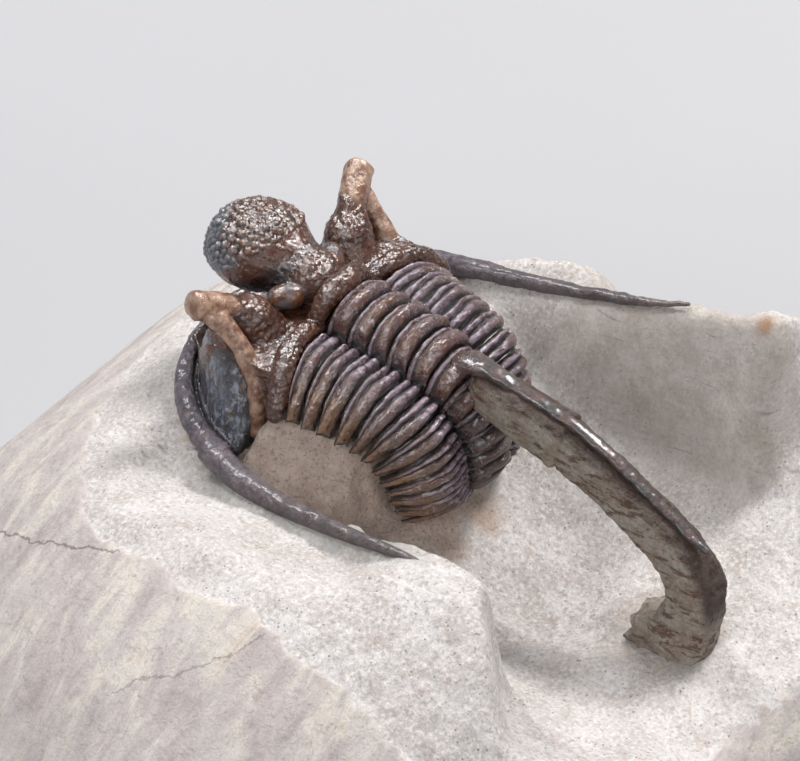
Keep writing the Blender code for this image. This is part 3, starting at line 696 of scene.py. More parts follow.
def make_cranidium():
    """The middle of the head, warty, with its broken horns and the straps below them."""
    axes = [np.arange(low, high + HEAD_STEP, HEAD_STEP, dtype=np.float32)
            for low, high in zip(HEAD_LOW, HEAD_HIGH)]
    grid = np.stack(np.meshgrid(*axes, indexing="ij"), -1)
    left = head_field(grid, LEFT_HORN, STRAP_ROUTE)
    right = head_field(grid, RIGHT_HORN, RIGHT_STRAP)
    field = np.concatenate([left[:0:-1], right], 0)
    origin = (-axes[0][-1], HEAD_LOW[1], HEAD_LOW[2])
    points, quads = surface_net(field, origin, HEAD_STEP)
    points = relax(points, quads, 2, 0.4)
    normals = point_normals(points, quads)
    x = np.abs(points[:, 0])
    y = points[:, 1]
    z = points[:, 2]
    ball = np.linalg.norm((points - BALL_CENTRE) / BALL_RADII, axis=1)
    tilt = z - BALL_CENTRE[2] + 0.75 * (y - BALL_CENTRE[1])
    smooth_belly = smooth(0.3, -0.1, tilt + 0.15 * grain(points, 0.8))
    on_ball = (ball < 1.08) & (smooth_belly < 0.6)
    on_arch = (y < 0.3) & (z > 0.55) & (x < 1.35)
    on_neck = (x < 0.85) & (y >= 0.3) & (y < 2.6) & (z > 1.15) & (ball >= 1.08)
    on_border = (y < 0.32) & (x > 1.5) & (z > -1.55) & (normals[:, 2] > -0.1)
    half = (np.abs(points) * (1, 0, 0) + points * (0, 1, 1)).astype(np.float32)
    strap_away = np.where(points[:, 0] < 0.0, chain(half, STRAP_ROUTE, STRAP_RADII),
                          chain(half, RIGHT_STRAP, STRAP_RADII))
    tan = smooth(0.1, -0.02, strap_away) * smooth(3.9, 4.15, x)
    horn_start = np.where(points[:, 0] < 0.0, 1.05, 1.25)
    tan = np.maximum(tan, smooth(0.0, 0.4, z - horn_start + 0.12 * grain(points, 0.5)) * smooth(3.6, 3.9, x))
    on_mound = (x > 2.1) & (x < 4.7) & (y > 0.45) & (z > -0.3) & (tan < 0.2) & (ball > 1.1)
    radius = np.zeros(len(points))
    radius[on_neck] = 0.12
    radius[on_mound] = 0.13
    radius[on_border] = 0.12
    radius[on_arch] = 0.14
    patches = 0.05 * rough(points, 0.6, 2)
    on_top = smooth(0.2, 1.8, z - 0.35 * (y - BALL_CENTRE[1]))
    radius[on_ball] = (0.1 + 0.045 * on_top + patches)[on_ball]
    centres, widths = throw_warts(points, radius, 5)
    caps = wart_heights(points, centres, widths)
    strength = np.select([on_ball, on_arch, on_mound, on_border, on_neck], [0.8, 0.3, 0.3, 0.32, 0.4], 0.0)
    strength = strength * (1.0 - smooth_belly * (ball < 1.15)) * (0.75 + 0.55 * grain(points, 0.45))
    height = caps * strength + 0.045 * rough(points, 0.55, 3) + 0.006 * grain(points, 0.14)
    points = points + normals * height[:, None]
    share = np.clip(caps / np.maximum(radius, 0.05), 0.0, 1.0) * np.clip(strength * 2.4, 0.0, 1.0)
    # the belly mask marks the smooth lower rear of the ball for painted shade
    masks = {"wart": share, "ball": smooth(1.25, 1.05, ball), "strap": tan, "tilt": tilt,
             "belly_shade": smooth_belly * smooth(1.4, 1.1, ball),
             "warty": (radius > 0.0) * np.clip(strength * 2.0, 0.0, 1.0),
             "lobe": smooth(0.1, -0.02, turned_ellipsoid(half, LOBE_CENTRE, LOBE_RADII, LOBE_TURN)),
             "low": smooth(-0.6, -2.0, z)}
    obj = build("head_middle", points, quads.tolist(), masks)
    dress(obj, "cranidium", HEAD)


def cheek_shape(side, route, radii):
    """Slope, crest line, furrow and border of a free cheek, with its long spine."""
    along = np.linspace(0.0, 1.0, CHEEK_COLUMNS)
    angle = np.radians(lerp(12.0, 75.0, along))
    outer = np.stack([HEAD_HALF_WIDTH * np.cos(angle), HEAD_BACK + HEAD_LENGTH * np.sin(angle)], -1)
    inner_y = lerp(0.25, 5.0, along)
    inner = np.stack([suture_half_width(inner_y) - 0.3, inner_y], -1)
    ahead = outer - inner
    reach = np.linalg.norm(ahead, axis=1)
    ahead /= reach[:, None]
    strap_y = [point[1] for point in reversed(STRAP_ROUTE)]
    strap_z = [point[2] for point in reversed(STRAP_ROUTE)]
    top = np.minimum(np.interp(inner_y, strap_y, strap_z) - 0.25, 0.1)
    top = np.minimum(top, head_height(inner[:, 0], inner[:, 1]) + 0.8 * bell(inner_y, 2.3, 1.6))
    width = lerp(0.5, 0.3, along)
    middle = reach - width - 0.04
    rise = lerp(-3.12, -3.3, along)
    crest_at = middle - width - 0.3
    rows = []
    kinds = []
    for share in np.linspace(0.0, 1.0, 46):
        level = lerp(-3.28, top, (1.0 - share ** 1.9) ** 0.9)
        rows.append(np.stack([crest_at * share, level], -1))
        kinds.append((share, 0.0, 0.0, 0.0))
    for share in np.linspace(0.0, 1.0, 14)[1:]:
        bulge = 0.2 * math.sin(math.pi * min(1.0, share * 1.1)) - 0.14 * share
        rows.append(np.stack([crest_at + 0.17 * share, -3.28 + bulge + 0.0 * along], -1))
        kinds.append((1.0, math.sin(math.pi * min(1.0, share * 1.15)), share, 0.0))
    for turn in np.linspace(200.0, -75.0, 34):
        bend = math.radians(turn)
        rows.append(np.stack([middle + width * math.cos(bend), rise + width * 0.95 * math.sin(bend)], -1))
        kinds.append((1.0, 0.0, 1.0 if turn > 165.0 else 0.0, 1.0))
    for share in (0.8, 0.4, 0.0):
        rows.append(np.stack([middle * share, LOWEST + 0.0 * along], -1))
        kinds.append((0.5, 0.0, 1.0, 0.0))
    rows = np.stack(rows, 1)
    level = np.maximum(rows[..., 1], LOWEST)
    plan = inner[:, None] + rows[..., :1] * ahead[:, None]
    points = np.concatenate([plan, level[..., None]], -1)
    kinds = np.broadcast_to(np.array(kinds)[None], (CHEEK_COLUMNS, len(kinds), 4))
    veins = rough(points, 0.9, 3)
    points[..., 2] += 0.12 * veins * (kinds[..., 2] < 0.5) + 0.02 * grain(points, 0.16)
    points[..., 0] += 0.04 * rough(points + 40.0, 0.9, 4)
    # the third kind column is painted shade: the furrow behind the crest line, the inner turn of the border
    # and the underside
    masks = {"slope": kinds[..., 0], "crest": kinds[..., 1], "painted_shade_and_dark_tone": kinds[..., 2], "border": kinds[..., 3],
             "spine": np.zeros(points.shape[:2])}
    shapes = [(points, loft(points), masks)]
    rings, _, _ = rod_rings(route, radii, SPINE_RINGS, SPINE_SIDES, (1.0, 0.92), 2.2)
    rings = rings + 0.04 * rough(rings, 0.6, 4)[..., None] * np.array((0.8, 0.2, 1.0))
    zero = np.zeros(rings.shape[:2])
    far = np.broadcast_to(np.linspace(0.0, 1.0, SPINE_RINGS)[:, None], rings.shape[:2])
    shapes.append((rings, loft(rings), {"slope": zero + 1.0, "crest": zero, "painted_shade_and_dark_tone": zero,
                                        "border": zero + 1.0, "spine": far}))
    points, faces, masks = join_shapes(shapes)
    points = points * (side, 1.0, 1.0)
    return points, faces, masks


def make_cheek(side, word, route, radii):
    points, faces, masks = cheek_shape(side, route, radii)
    obj = build("cheek_" + word, points, faces, masks)
    dress(obj, "free_cheek_" + word, CHEEK)


# The stone

def dome_share(x, y):
    across = x - DOME_CENTRE[0]
    along = y - DOME_CENTRE[1]
    left = (across / DOME_RADIUS) ** 2
    right = (across / (DOME_RIGHT + 0.25 * np.clip(-3.0 - y, 0.0, 10.0))) ** 6
    rear = lerp(DOME_REAR_LEFT, DOME_REAR_RIGHT, smooth(-10.0, 2.0, x))
    reach = np.where(along > 0.0, DOME_RADIUS, rear)
    return np.where(across < 0.0, left, right) + (along / reach) ** 2


def natural_height(x, y):
    share = dome_share(x, y)
    height = DOME_EQUATOR + DOME_RADIUS * np.sqrt(np.maximum(0.0, 1.0 - share))
    rise = np.clip((y - RIDGE_START) / (RIDGE_END - RIDGE_START), 0.0, 1.0)
    ridge = RIDGE_LIFT * rise ** 2 * smooth(3.0, 8.0, x)
    corner = CORNER_LIFT * hill(x, y, CORNER_PLACE, CORNER_SIZE)
    return height + (ridge + corner) * smooth(0.0, 0.35, DOME_RIM - share)


def beyond_head(x, y):
    front = 7.7 * (np.hypot(x / HEAD_HALF_WIDTH, (y - HEAD_BACK) / HEAD_LENGTH) - 1.0)
    back = np.abs(x) - HEAD_HALF_WIDTH - 0.1 * (HEAD_BACK - y)
    return np.where(y > HEAD_BACK, front, back)


def spine_seat(y):
    return lerp(HEAD_UNDERSIDE - 0.2, SPINE_END_SEAT, smooth(3.0, 11.0, -y))


def spine_place(x, y, axis):
    """Place across (axis 0) or height (axis 2) of the cheek spine on this side, level with y."""
    left = np.interp(-y, [-point[1] for point in LEFT_SPINE], [point[axis] for point in LEFT_SPINE])
    right = np.interp(-y, [-point[1] for point in RIGHT_SPINE], [point[axis] for point in RIGHT_SPINE])
    return np.where(x < 0.0, left, right)


def plateau_height(x, y):
    beyond = beyond_head(x, y)
    depth = CARVE_DEPTH * (1.0 - smooth(3.5, 9.0, np.abs(y + 2.8)))
    depth = np.where(x > 0.0, RIGHT_CARVE_SHARE * depth, depth)
    height = natural_height(x, y) - depth * (1.0 - smooth(0.3, 5.0, beyond))
    lip = HEAD_UNDERSIDE - SEAT_DROP - LIP_SLOPE * np.maximum(0.0, beyond - SEAT_DROP)
    lip = lip - LIP_FALL * np.maximum(0.0, beyond - LIP_REACH) ** 2 - LIP_END * smooth(-1.5, 0.5, -y)
    height = np.maximum(height, lip)
    height = height + SWELL_HEIGHT * hill(x, y, SWELL_PLACE, SWELL_SIZE) * smooth(0.3, 1.4, beyond)
    height = np.where(beyond < LIP_LAST, np.minimum(height, spine_seat(y)), height)
    away = np.abs(np.abs(x) - spine_place(x, y, 0))
    ledge = spine_place(x, y, 2) - LEDGE_DROP - LEDGE_SLOPE * np.maximum(0.0, away - LEDGE_FLAT)
    ledge = ledge - 3.0 * smooth(-LEDGE_START, LEDGE_START, y)
    return np.where((y < LEDGE_START) & (y > LEDGE_END), np.maximum(height, ledge), height)


def floor_height(x, y):
    floor = lerp(HEAD_UNDERSIDE - 0.3, TROUGH_FLOOR, smooth(-0.5, 11.0, -y))
    floor = floor + TROUGH_HOLLOW * x * x * smooth(2.0, 8.0, -y)
    pad = PAD_HEIGHT * hill(x, y, PAD_PLACE, PAD_SIZE)
    top = lerp(-1.95, -2.6, smooth(1.5, 4.0, -y))
    top = top - PEDESTAL_REAR_DROP * smooth(4.1, 5.3, -y)
    top = top - PEDESTAL_FRONT_DROP * smooth(-0.6, 0.6, y)
    shoulder = 4.7 - 0.25 * np.maximum(0.0, -1.0 - y)
    pedestal = top - PEDESTAL_FLANK * np.maximum(0.0, np.abs(x) - shoulder)
    rubble = RUBBLE_HEIGHT * hill(np.abs(x), y, RUBBLE_PLACE, RUBBLE_SIZE)
    heel = HEEL_HEIGHT * hill(x, y, HEEL_PLACE, HEEL_SIZE, 4)
    return np.maximum(floor + pad + heel, pedestal) + rubble


def plateau_share(x, y):
    left_edge = TROUGH_HALF_WIDTH + 0.1 * np.maximum(0.0, -1.5 - y)
    left_edge = left_edge + 1.3 * np.maximum(0.0, TROUGH_CORNER - y)
    widening = smooth(4.0, 9.0, -y)
    right_edge = TROUGH_HALF_WIDTH + 0.13 * np.maximum(0.0, -1.5 - y) + 0.7 * widening
    left = smooth(left_edge - WALL_WIDTH, left_edge, -x)
    share = np.clip((x - (right_edge - WALL_WIDTH - widening)) / (WALL_WIDTH + widening), 0.0, 1.0)
    right = share * share * (3.0 - 2.0 * share) * smooth(RIDGE_END - WALL_WIDTH, RIDGE_END, y)
    return np.where(x < 0.0, left, right)


def rock_height(x, y):
    natural = natural_height(x, y)
    floor = np.minimum(floor_height(x, y), natural - 0.05)
    return np.maximum(BASE_LEVEL, lerp(floor, plateau_height(x, y), plateau_share(x, y)))


def rim_radius(angle):
    near = np.zeros_like(angle)
    far = np.full_like(angle, 2.0 * DOME_RADIUS)
    for _ in range(32):
        middle = 0.5 * (near + far)
        inside = dome_share(DOME_CENTRE[0] + middle * np.cos(angle), DOME_CENTRE[1] + middle * np.sin(angle))
        near = np.where(inside < DOME_RIM, middle, near)
        far = np.where(inside < DOME_RIM, far, middle)
    return near


ROCK_POINTS = 305
ROCK_SMOOTHINGS = 7
STRUT_RINGS = 340
STRUT_SIDES = 84
CRACKS = (((-13.2, 6.4), (-13.69, 4.31), (-13.94, 2.09), (-13.76, 0.02), (-13.47, -1.21)),
          ((-18.6, -3.8), (-17.91, -4.52), (-17.26, -5.43), (-16.26, -6.53), (-15.4, -7.26), (-14.6, -7.6)))


def away_from_line(x, y, line):
    """Distance on plan from a broken line, negative on its right-hand side."""
    result = np.full(x.shape, 1e3)
    for start, end in zip(line[:-1], line[1:]):
        along = (end[0] - start[0], end[1] - start[1])
        length = along[0] ** 2 + along[1] ** 2
        share = np.clip(((x - start[0]) * along[0] + (y - start[1]) * along[1]) / length, 0.0, 1.0)
        away = np.hypot(x - start[0] - share * along[0], y - start[1] - share * along[1])
        hand = np.where(along[0] * (y - start[1]) - along[1] * (x - start[0]) < 0.0, -1.0, 1.0)
        result = np.where(away < np.abs(result), away * hand, result)
    return result


def worked_share(x, y):
    """1 where the stone was worked with tools, 0 on its natural skin, with a scalloped border."""
    beyond = beyond_head(x, y)
    limit = np.where(x < 0.0, lerp(5.75, 2.3, smooth(0.5, 8.6, y)), 2.4)
    flat = np.stack([x, y, 0.0 * x], -1)
    scallop = 0.35 * np.abs(grain(flat, 1.1)) + 0.3 * grain(flat + 9.0, 2.6) + 0.1 * grain(flat, 0.4)
    side = smooth(-0.12, 0.12, limit + scallop - beyond)
    rear = smooth(-0.12, 0.12, y + 20.3 + 2.0 * scallop - 0.12 * (x - 1.0))
    return side * rear


def make_rock():
    """The nodule with its worked trough, pedestal and ridges, sawn flat below."""
    line = np.linspace(-1.0, 1.0, ROCK_POINTS)
    line = 0.6 * line + 0.4 * line ** 3
    u, v = np.meshgrid(line, line, indexing="ij")
    disc_x = u * np.sqrt(1.0 - 0.5 * v * v)
    disc_y = v * np.sqrt(1.0 - 0.5 * u * u)
    reach = 0.9965 * rim_radius(np.arctan2(disc_y, disc_x))
    x = DOME_CENTRE[0] + disc_x * reach
    y = DOME_CENTRE[1] + disc_y * reach
    flat = np.stack([x, y, 0.0 * x], -1)
    share = plateau_share(x, y)
    spine_room = np.abs(np.abs(x) - (8.0 - 0.07 * (y + 1.0)))
    near_spine = (y < 2.0) & (y > -13.2)
    wobble = smooth(-1.0, -3.0, y) * 0.35 * np.where(near_spine, smooth(0.3, 1.3, spine_room), 1.0)
    z = rock_height(x + wobble * rough(flat, 2.2, 3), y + wobble * rough(flat + 30.0, 2.2, 3))
    worked = worked_share(x, y)
    rim = np.maximum(np.abs(u), np.abs(v))
    away = smooth(1.0, 0.93, rim)
    under_animal = (np.abs(x) < 4.9) & (y > -5.6) & (y < 6.0)
    soften = np.where((np.abs(x) < 6.0) & (y > -5.6) & (y < 7.0), 0.0, away)
    for _ in range(ROCK_SMOOTHINGS):
        mean = z.copy()
        mean[1:-1, 1:-1] = 0.25 * (z[2:, 1:-1] + z[:-2, 1:-1] + z[1:-1, 2:] + z[1:-1, :-2])
        z = lerp(z, mean, soften)
    quiet = np.where(under_animal, 0.8, 1.0) * away
    quiet = quiet * np.where(near_spine, smooth(0.2, 1.0, spine_room), 1.0)
    place = np.stack([x, y, z], -1)
    tooled = 0.08 * rough(place, 1.5, 5, 0.62) + 0.07 * rough(place, 0.34, 2)
    skin = 0.16 * rough(place, 4.5, 4, 0.42)
    wall = bell(share, 0.5, 0.3)
    z = z + quiet * (worked * tooled + (1.0 - worked) * (skin + 0.14 * smooth(0.0, 0.4, away)))
    z = z + quiet * wall * 0.14 * rough(place, 0.8, 4)
    cracks = [away_from_line(x, y, route) for route in CRACKS]
    z = np.maximum(z, BASE_LEVEL + 0.6)
    z[0] = z[1]
    z[-1] = z[-2]
    z[:, 0] = z[:, 1]
    z[:, -1] = z[:, -2]
    beyond = beyond_head(x, y)
    near_fossil = smooth(0.9, 0.1, beyond + 0.3 * rough(flat, 0.8, 3)) * smooth(-12.0, -8.0, y)
    near_fossil = near_fossil * (share > 0.6) * smooth(2.0, 0.0, y) * (x < 0.0)
    mound = hill(x, y, TAN_PLACE, TAN_SIZE, 4)
    tan = smooth(0.3, 0.65, mound + 0.14 * rough(flat, 1.0, 3)) * (share < 0.6)
    foot = smooth(3.2, 1.6, np.hypot(x + 0.3, y + 15.7) + 0.5 * rough(flat, 1.2, 3))
    right_wall = smooth(6.0, 7.6, x) * smooth(-3.5, -6.0, y) * smooth(10.4, 9.8, x) * smooth(-15.4, -14.4, y)
    spot = bell(np.sqrt((x - 9.45) ** 2 + (y + 13.34) ** 2 + (z + 0.7) ** 2), 0.0, 0.4)
    masks = {"worked": worked, "halo": near_fossil, "tan": tan, "crack": cracks[0], "split": cracks[1],
             "foot": foot, "wall": right_wall, "ochre": spot, "side": np.zeros(x.shape)}
    points = np.stack([x, y, z], -1).reshape(-1, 3)
    ids = np.arange(len(points)).reshape(x.shape)
    faces = np.stack([ids[:-1, :-1], ids[1:, :-1], ids[1:, 1:], ids[:-1, 1:]], -1).reshape(-1, 4).tolist()
    border = np.concatenate([ids[:-1, 0], ids[-1, :-1], ids[:0:-1, -1], ids[0, :0:-1]])
    rings = [border]
    columns = {label: [values.ravel()] for label, values in masks.items()}
    everything = [points]
    total = len(points)
    centre = np.array((DOME_CENTRE[0], DOME_CENTRE[1], 0.0))
    for level in (0.8, 0.55, 0.3, 0.12, 0.0):
        ring = points[border].copy()
        ring[:, 2] = lerp(BASE_LEVEL, ring[:, 2], level)
        inward = 0.06 * np.abs(rough(ring, 0.9, 3)) * (1.0 if level < 0.9 else 0.0)
        ring[:, :2] = lerp(ring[:, :2], centre[:2], (inward / DOME_RADIUS)[:, None])
        everything.append(ring)
        rings.append(np.arange(total, total + len(ring)))
        total += len(ring)
        for label in columns:
            columns[label].append(np.full(len(ring), 1.0 if label == "side" else 0.0))
    for upper, lower in zip(rings[:-1], rings[1:]):
        faces += np.stack([upper, lower, np.roll(lower, -1), np.roll(upper, -1)], -1).tolist()
    faces.append(rings[-1].tolist())
    masks = {label: np.concatenate(parts) for label, parts in columns.items()}
    obj = build("stone", np.concatenate(everything), faces, masks)
    dress(obj, "matrix_block", ROCK)


def make_strut():
    """The stone rod under the spine: flat sides, a step at its mend and a rough spreading foot."""
    route = [(0.0, y, z) for y, z in STRUT_ROUTE]
    rings, centres, angle = rod_rings(route, STRUT_RADII, STRUT_RINGS, STRUT_SIDES, (0.82, 1.0), 3.6)
    along = np.linspace(0.0, 1.0, STRUT_RINGS)[:, None]
    from_centre = rings - centres[:, None]
    slant = along + 0.006 * np.sin(angle)[None] + 0.004 * grain(rings, 0.5)
    past_mend = smooth(0.286, 0.292, slant)
    mend = smooth(0.262, 0.268, slant) * (1.0 - past_mend)
    notch = bell(slant, 0.29, 0.004) * (0.4 + 0.6 * np.clip(-np.sin(angle), 0.0, 1.0))[None]
    size = 1.0 + 0.03 * mend - 0.12 * notch - 0.07 * past_mend * smooth(0.6, 0.3, along)
    size = size + 0.05 * rough(rings, 1.5, 3) + 0.05 * rough(rings, 0.5, 4) + 0.02 * grain(rings, 0.12)
    foot = smooth(0.8, 1.0, along)
    size = size + foot * 0.22 * rough(rings + 7.0, 0.9, 4)
    size = size * lerp(0.7, 1.0, smooth(0.0, 0.03, along))
    rings = centres[:, None] + from_centre * size[..., None]
    ones = np.ones(rings.shape[:2])
    masks = {"mend": mend * smooth(0.5, -0.4, np.sin(angle))[None] * ones, "foot": foot * ones,
             "under": smooth(-0.3, -0.9, np.sin(angle))[None] * ones,
             "crest": smooth(0.35, 0.9, np.sin(angle))[None] * ones * (1.0 - smooth(0.7, 0.78, along))}
    obj = build("strut", rings.reshape(-1, 3), loft(rings), masks)
    dress(obj, "spine_strut", STRUT)


# Finishes

def colour(red, green, painted_reflection):
    return (red ** 2.2, green ** 2.2, painted_reflection ** 2.2, 1.0)


class Finish:
    """One procedural material, with short calls for its nodes."""

    def __init__(self, name):
        self.material = bpy.data.materials.new(name)
        self.material.use_nodes = True
        self.nodes = self.material.node_tree.nodes
        self.links = self.material.node_tree.links
        self.shader = self.nodes["Principled BSDF"]
        coordinates = self.nodes.new("ShaderNodeTexCoord")
        self.place = self.mapped(coordinates.outputs["Object"], (1000.0,) * 3, -SEAT)

    def mapped(self, vector, scale, location=(0.0, 0.0, 0.0), turn=(0.0, 0.0, 0.0)):
        node = self.nodes.new("ShaderNodeMapping")
        node.inputs["Scale"].default_value = scale
        node.inputs["Location"].default_value = location
        node.inputs["Rotation"].default_value = turn
        self.links.new(vector, node.inputs["Vector"])
        return node.outputs["Vector"]

    def put(self, socket, value):
        if isinstance(value, bpy.types.NodeSocket):
            self.links.new(value, socket)
        else:
            socket.default_value = value

    def noise(self, size, detail=4.0, roughness=0.55, distortion=0.0, place=None):
        node = self.nodes.new("ShaderNodeTexNoise")
        self.put(node.inputs["Vector"], place or self.place)
        node.inputs["Scale"].default_value = 1.0 / size
        node.inputs["Detail"].default_value = detail
        node.inputs["Roughness"].default_value = roughness
        node.inputs["Distortion"].default_value = distortion
        return node.outputs["Fac"]

    def cells(self, size):
        node = self.nodes.new("ShaderNodeTexVoronoi")
        self.put(node.inputs["Vector"], self.place)
        node.inputs["Scale"].default_value = 1.0 / size
        return node.outputs["Distance"]

    def mask(self, name):
        node = self.nodes.new("ShaderNodeAttribute")
        node.attribute_name = name
        return node.outputs["Fac"]

    def ramp(self, value, *stops):
        node = self.nodes.new("ShaderNodeValToRGB")
        ramp = node.color_ramp
        while len(ramp.elements) < len(stops):
            ramp.elements.new(0.5)
        for element, (place, tone) in zip(ramp.elements, stops):
            element.position = place
            element.color = tone
        self.put(node.inputs["Fac"], value)
        return node.outputs["Color"]

    def steps(self, value, start, end, low=0.0, high=1.0):
        node = self.nodes.new("ShaderNodeMapRange")
        node.interpolation_type = "SMOOTHSTEP"
        node.inputs["From Min"].default_value = start
        node.inputs["From Max"].default_value = end
        node.inputs["To Min"].default_value = low
        node.inputs["To Max"].default_value = high
        self.put(node.inputs["Value"], value)
        return node.outputs["Result"]

    def mix(self, share, first, second):
        node = self.nodes.new("ShaderNodeMix")
        node.data_type = "RGBA"
        self.put(node.inputs[0], share)
        self.put(node.inputs[6], first)
        self.put(node.inputs[7], second)
        return node.outputs[2]

    def calculate(self, operation, first, second=0.0):
        node = self.nodes.new("ShaderNodeMath")
        node.operation = operation
        self.put(node.inputs[0], first)
        self.put(node.inputs[1], second)
        return node.outputs[0]

    def times(self, first, second):
        return self.calculate("MULTIPLY", first, second)

    def plus(self, first, second):
        return self.calculate("ADD", first, second)

    def patch(self, base, value, start, end, share, tone):
        """Lay a tone over the base where a value goes from start to end, at most by this share."""
        return self.mix(self.steps(value, start, end, 0.0, share), base, tone)

    def tint(self, base, name, share, tone):
        """Lay a tone over the base where a mask is, at most by this share."""
        return self.mix(self.times(self.mask(name), share), base, tone)

    def wander(self, low, high):
        """Roughness that wanders between two values."""
        return self.steps(self.noise(0.35, 5.0, 0.6), 0.35, 0.65, low, high)

    def bump(self, height, distance, normal=None):
        """Fine relief; distance in millimetres."""
        node = self.nodes.new("ShaderNodeBump")
        node.inputs["Strength"].default_value = 1.0
        node.inputs["Distance"].default_value = distance * MM
        self.put(node.inputs["Height"], height)
        if normal is not None:
            self.put(node.inputs["Normal"], normal)
        return node.outputs["Normal"]

    def end(self, base, roughness, normal, coat=0.0, level=0.5):
        self.put(self.shader.inputs["Base Color"], base)
        self.put(self.shader.inputs["Roughness"], roughness)
        self.put(self.shader.inputs["Normal"], normal)
        self.shader.inputs["Metallic"].default_value = 0.0
        self.shader.inputs["Specular IOR Level"].default_value = level
        self.shader.inputs["Coat Weight"].default_value = coat
        self.shader.inputs["Coat Roughness"].default_value = 0.22
        return self.material


def shell_finish():
    f = Finish("ring_shell")
    flank = f.mask("flank")
    line = f.mask("line")
    painted_shade_and_dark_tone = f.mask("painted_shade_and_dark_tone")
    broad = f.noise(1.2, 4.0, 0.6)
    fine = f.noise(0.2, 5.0, 0.65)
    base = f.ramp(flank, (0.0, colour(0.35, 0.21, 0.14)), (0.33, colour(0.33, 0.19, 0.12)),
                  (0.4, colour(0.29, 0.20, 0.24)), (0.62, colour(0.31, 0.21, 0.22)),
                  (0.8, colour(0.37, 0.25, 0.18)), (0.98, colour(0.50, 0.36, 0.23)))
    base = f.patch(base, broad, 0.42, 0.62, 0.5, colour(0.37, 0.31, 0.34))
    base = f.patch(base, fine, 0.48, 0.7, 0.7, colour(0.15, 0.09, 0.065))
    # ridge crests tinted lilac: partly the shell's own lilac, partly a painted highlight along the crest
    # lines
    crest = f.times(f.steps(f.mask("band"), 0.55, 0.95), f.steps(flank, 0.75, 0.5))
    crest = f.times(crest, f.steps(flank, 0.34, 0.42))
    crest = f.calculate("MAXIMUM", crest, f.steps(line, 0.4, 0.9))
    crest = f.times(crest, f.steps(f.noise(0.4, 5.0, 0.7), 0.4, 0.6, 0.08, 0.85))
    base = f.mix(crest, base, colour(0.55, 0.49, 0.54))
    glints = f.steps(f.noise(0.26, 5.0, 0.72), 0.57, 0.64, 0.0, 0.6)
    base = f.mix(glints, base, colour(0.60, 0.55, 0.60))
    # painted shadow: the axis of the rear rings and the tail shield darkened where the strut shades it
    base = f.tint(base, "tail", 0.6, colour(0.13, 0.09, 0.08))
    base = f.tint(base, "dull", 0.55, colour(0.26, 0.15, 0.11))
    # painted shade: grooves, the axial furrow and undersides darkened almost to black; on the spine this mask
    # holds its own dark mottling
    base = f.patch(base, painted_shade_and_dark_tone, 0.15, 0.8, 0.94, colour(0.07, 0.05, 0.04))
    roughness = f.wander(0.08, 0.26)
    roughness = f.plus(roughness, f.times(f.mask("dull"), 0.55))
    normal = f.bump(f.noise(0.11, 4.0, 0.55), 0.04)
    normal = f.bump(f.noise(0.28, 5.0, 0.66), 0.24, normal)
    return f.end(base, roughness, normal, 0.6, 0.8)


def head_finish():
    f = Finish("head_shell")
    wart = f.mask("wart")
    ball = f.mask("ball")
    broad = f.noise(1.4, 4.0, 0.6)
    fine = f.noise(0.15, 5.0, 0.65)
    base = f.mix(f.steps(broad, 0.35, 0.65), colour(0.34, 0.22, 0.17), colour(0.25, 0.16, 0.13))
    # painted reflection: the front-left of the ball, picked by where a point lies, turned blue-grey as if
    # mirroring a pale light
    split = f.nodes.new("ShaderNodeSeparateXYZ")
    f.put(split.inputs[0], f.place)
    ahead = f.times(f.calculate("SUBTRACT", split.outputs[1], BALL_CENTRE[1]), 0.55)
    front = f.plus(ahead, f.times(split.outputs[0], -0.4))
    front = f.plus(front, f.times(f.calculate("SUBTRACT", split.outputs[2], BALL_CENTRE[2]), -0.3))
    front = f.plus(front, f.steps(broad, 0.25, 0.75, -0.35, 0.35))
    painted_reflection = f.times(ball, f.steps(front, 0.1, 0.8, 0.0, 0.85))
    base = f.mix(painted_reflection, base, colour(0.35, 0.37, 0.40))
    # painted highlight: wart tops lightened, greyer where the painted reflection lies
    wart_highlight = f.steps(wart, 0.4, 1.0, 0.0, 0.5)
    base = f.mix(wart_highlight, base, f.mix(painted_reflection, colour(0.46, 0.37, 0.31), colour(0.50, 0.50, 0.52)))
    # painted shade: the creases between warts darkened
    crease_shade = f.times(f.mask("warty"), f.steps(wart, 0.3, 0.0, 0.0, 0.75))
    base = f.mix(crease_shade, base, colour(0.12, 0.075, 0.055))
    base = f.patch(base, fine, 0.5, 0.75, 0.45, colour(0.18, 0.12, 0.09))
    base = f.patch(base, f.noise(0.3, 5.0, 0.7), 0.6, 0.7, 0.4, colour(0.50, 0.46, 0.46))
    lobe = f.mix(f.steps(f.noise(0.7, 3.0), 0.42, 0.58), colour(0.40, 0.26, 0.16), colour(0.36, 0.35, 0.38))
    base = f.tint(base, "lobe", 0.6, lobe)
    # painted shade: the smooth lower rear of the ball darkened downwards, from reddish brown at its upper
    # edge to near black
    belly_shade = f.mix(f.steps(f.mask("tilt"), -0.3, -1.2), colour(0.28, 0.15, 0.09), colour(0.07, 0.06, 0.065))
    base = f.tint(base, "belly_shade", 0.9, belly_shade)
    base = f.tint(base, "low", 0.75, colour(0.24, 0.19, 0.17))
    tan = f.steps(f.noise(0.45, 5.0, 0.6), 0.38, 0.62)
    tan = f.mix(tan, colour(0.62, 0.50, 0.42), colour(0.43, 0.30, 0.23))
    tan = f.patch(tan, f.noise(0.16, 4.0, 0.6), 0.58, 0.72, 0.6, colour(0.36, 0.26, 0.19))
    base = f.mix(f.mask("strap"), base, tan)
    roughness = f.wander(0.15, 0.38)
    roughness = f.plus(roughness, f.times(f.mask("strap"), 0.12))
    normal = f.bump(f.noise(0.3, 4.0, 0.5), 0.12)
    return f.end(base, roughness, normal, 0.35, 0.65)


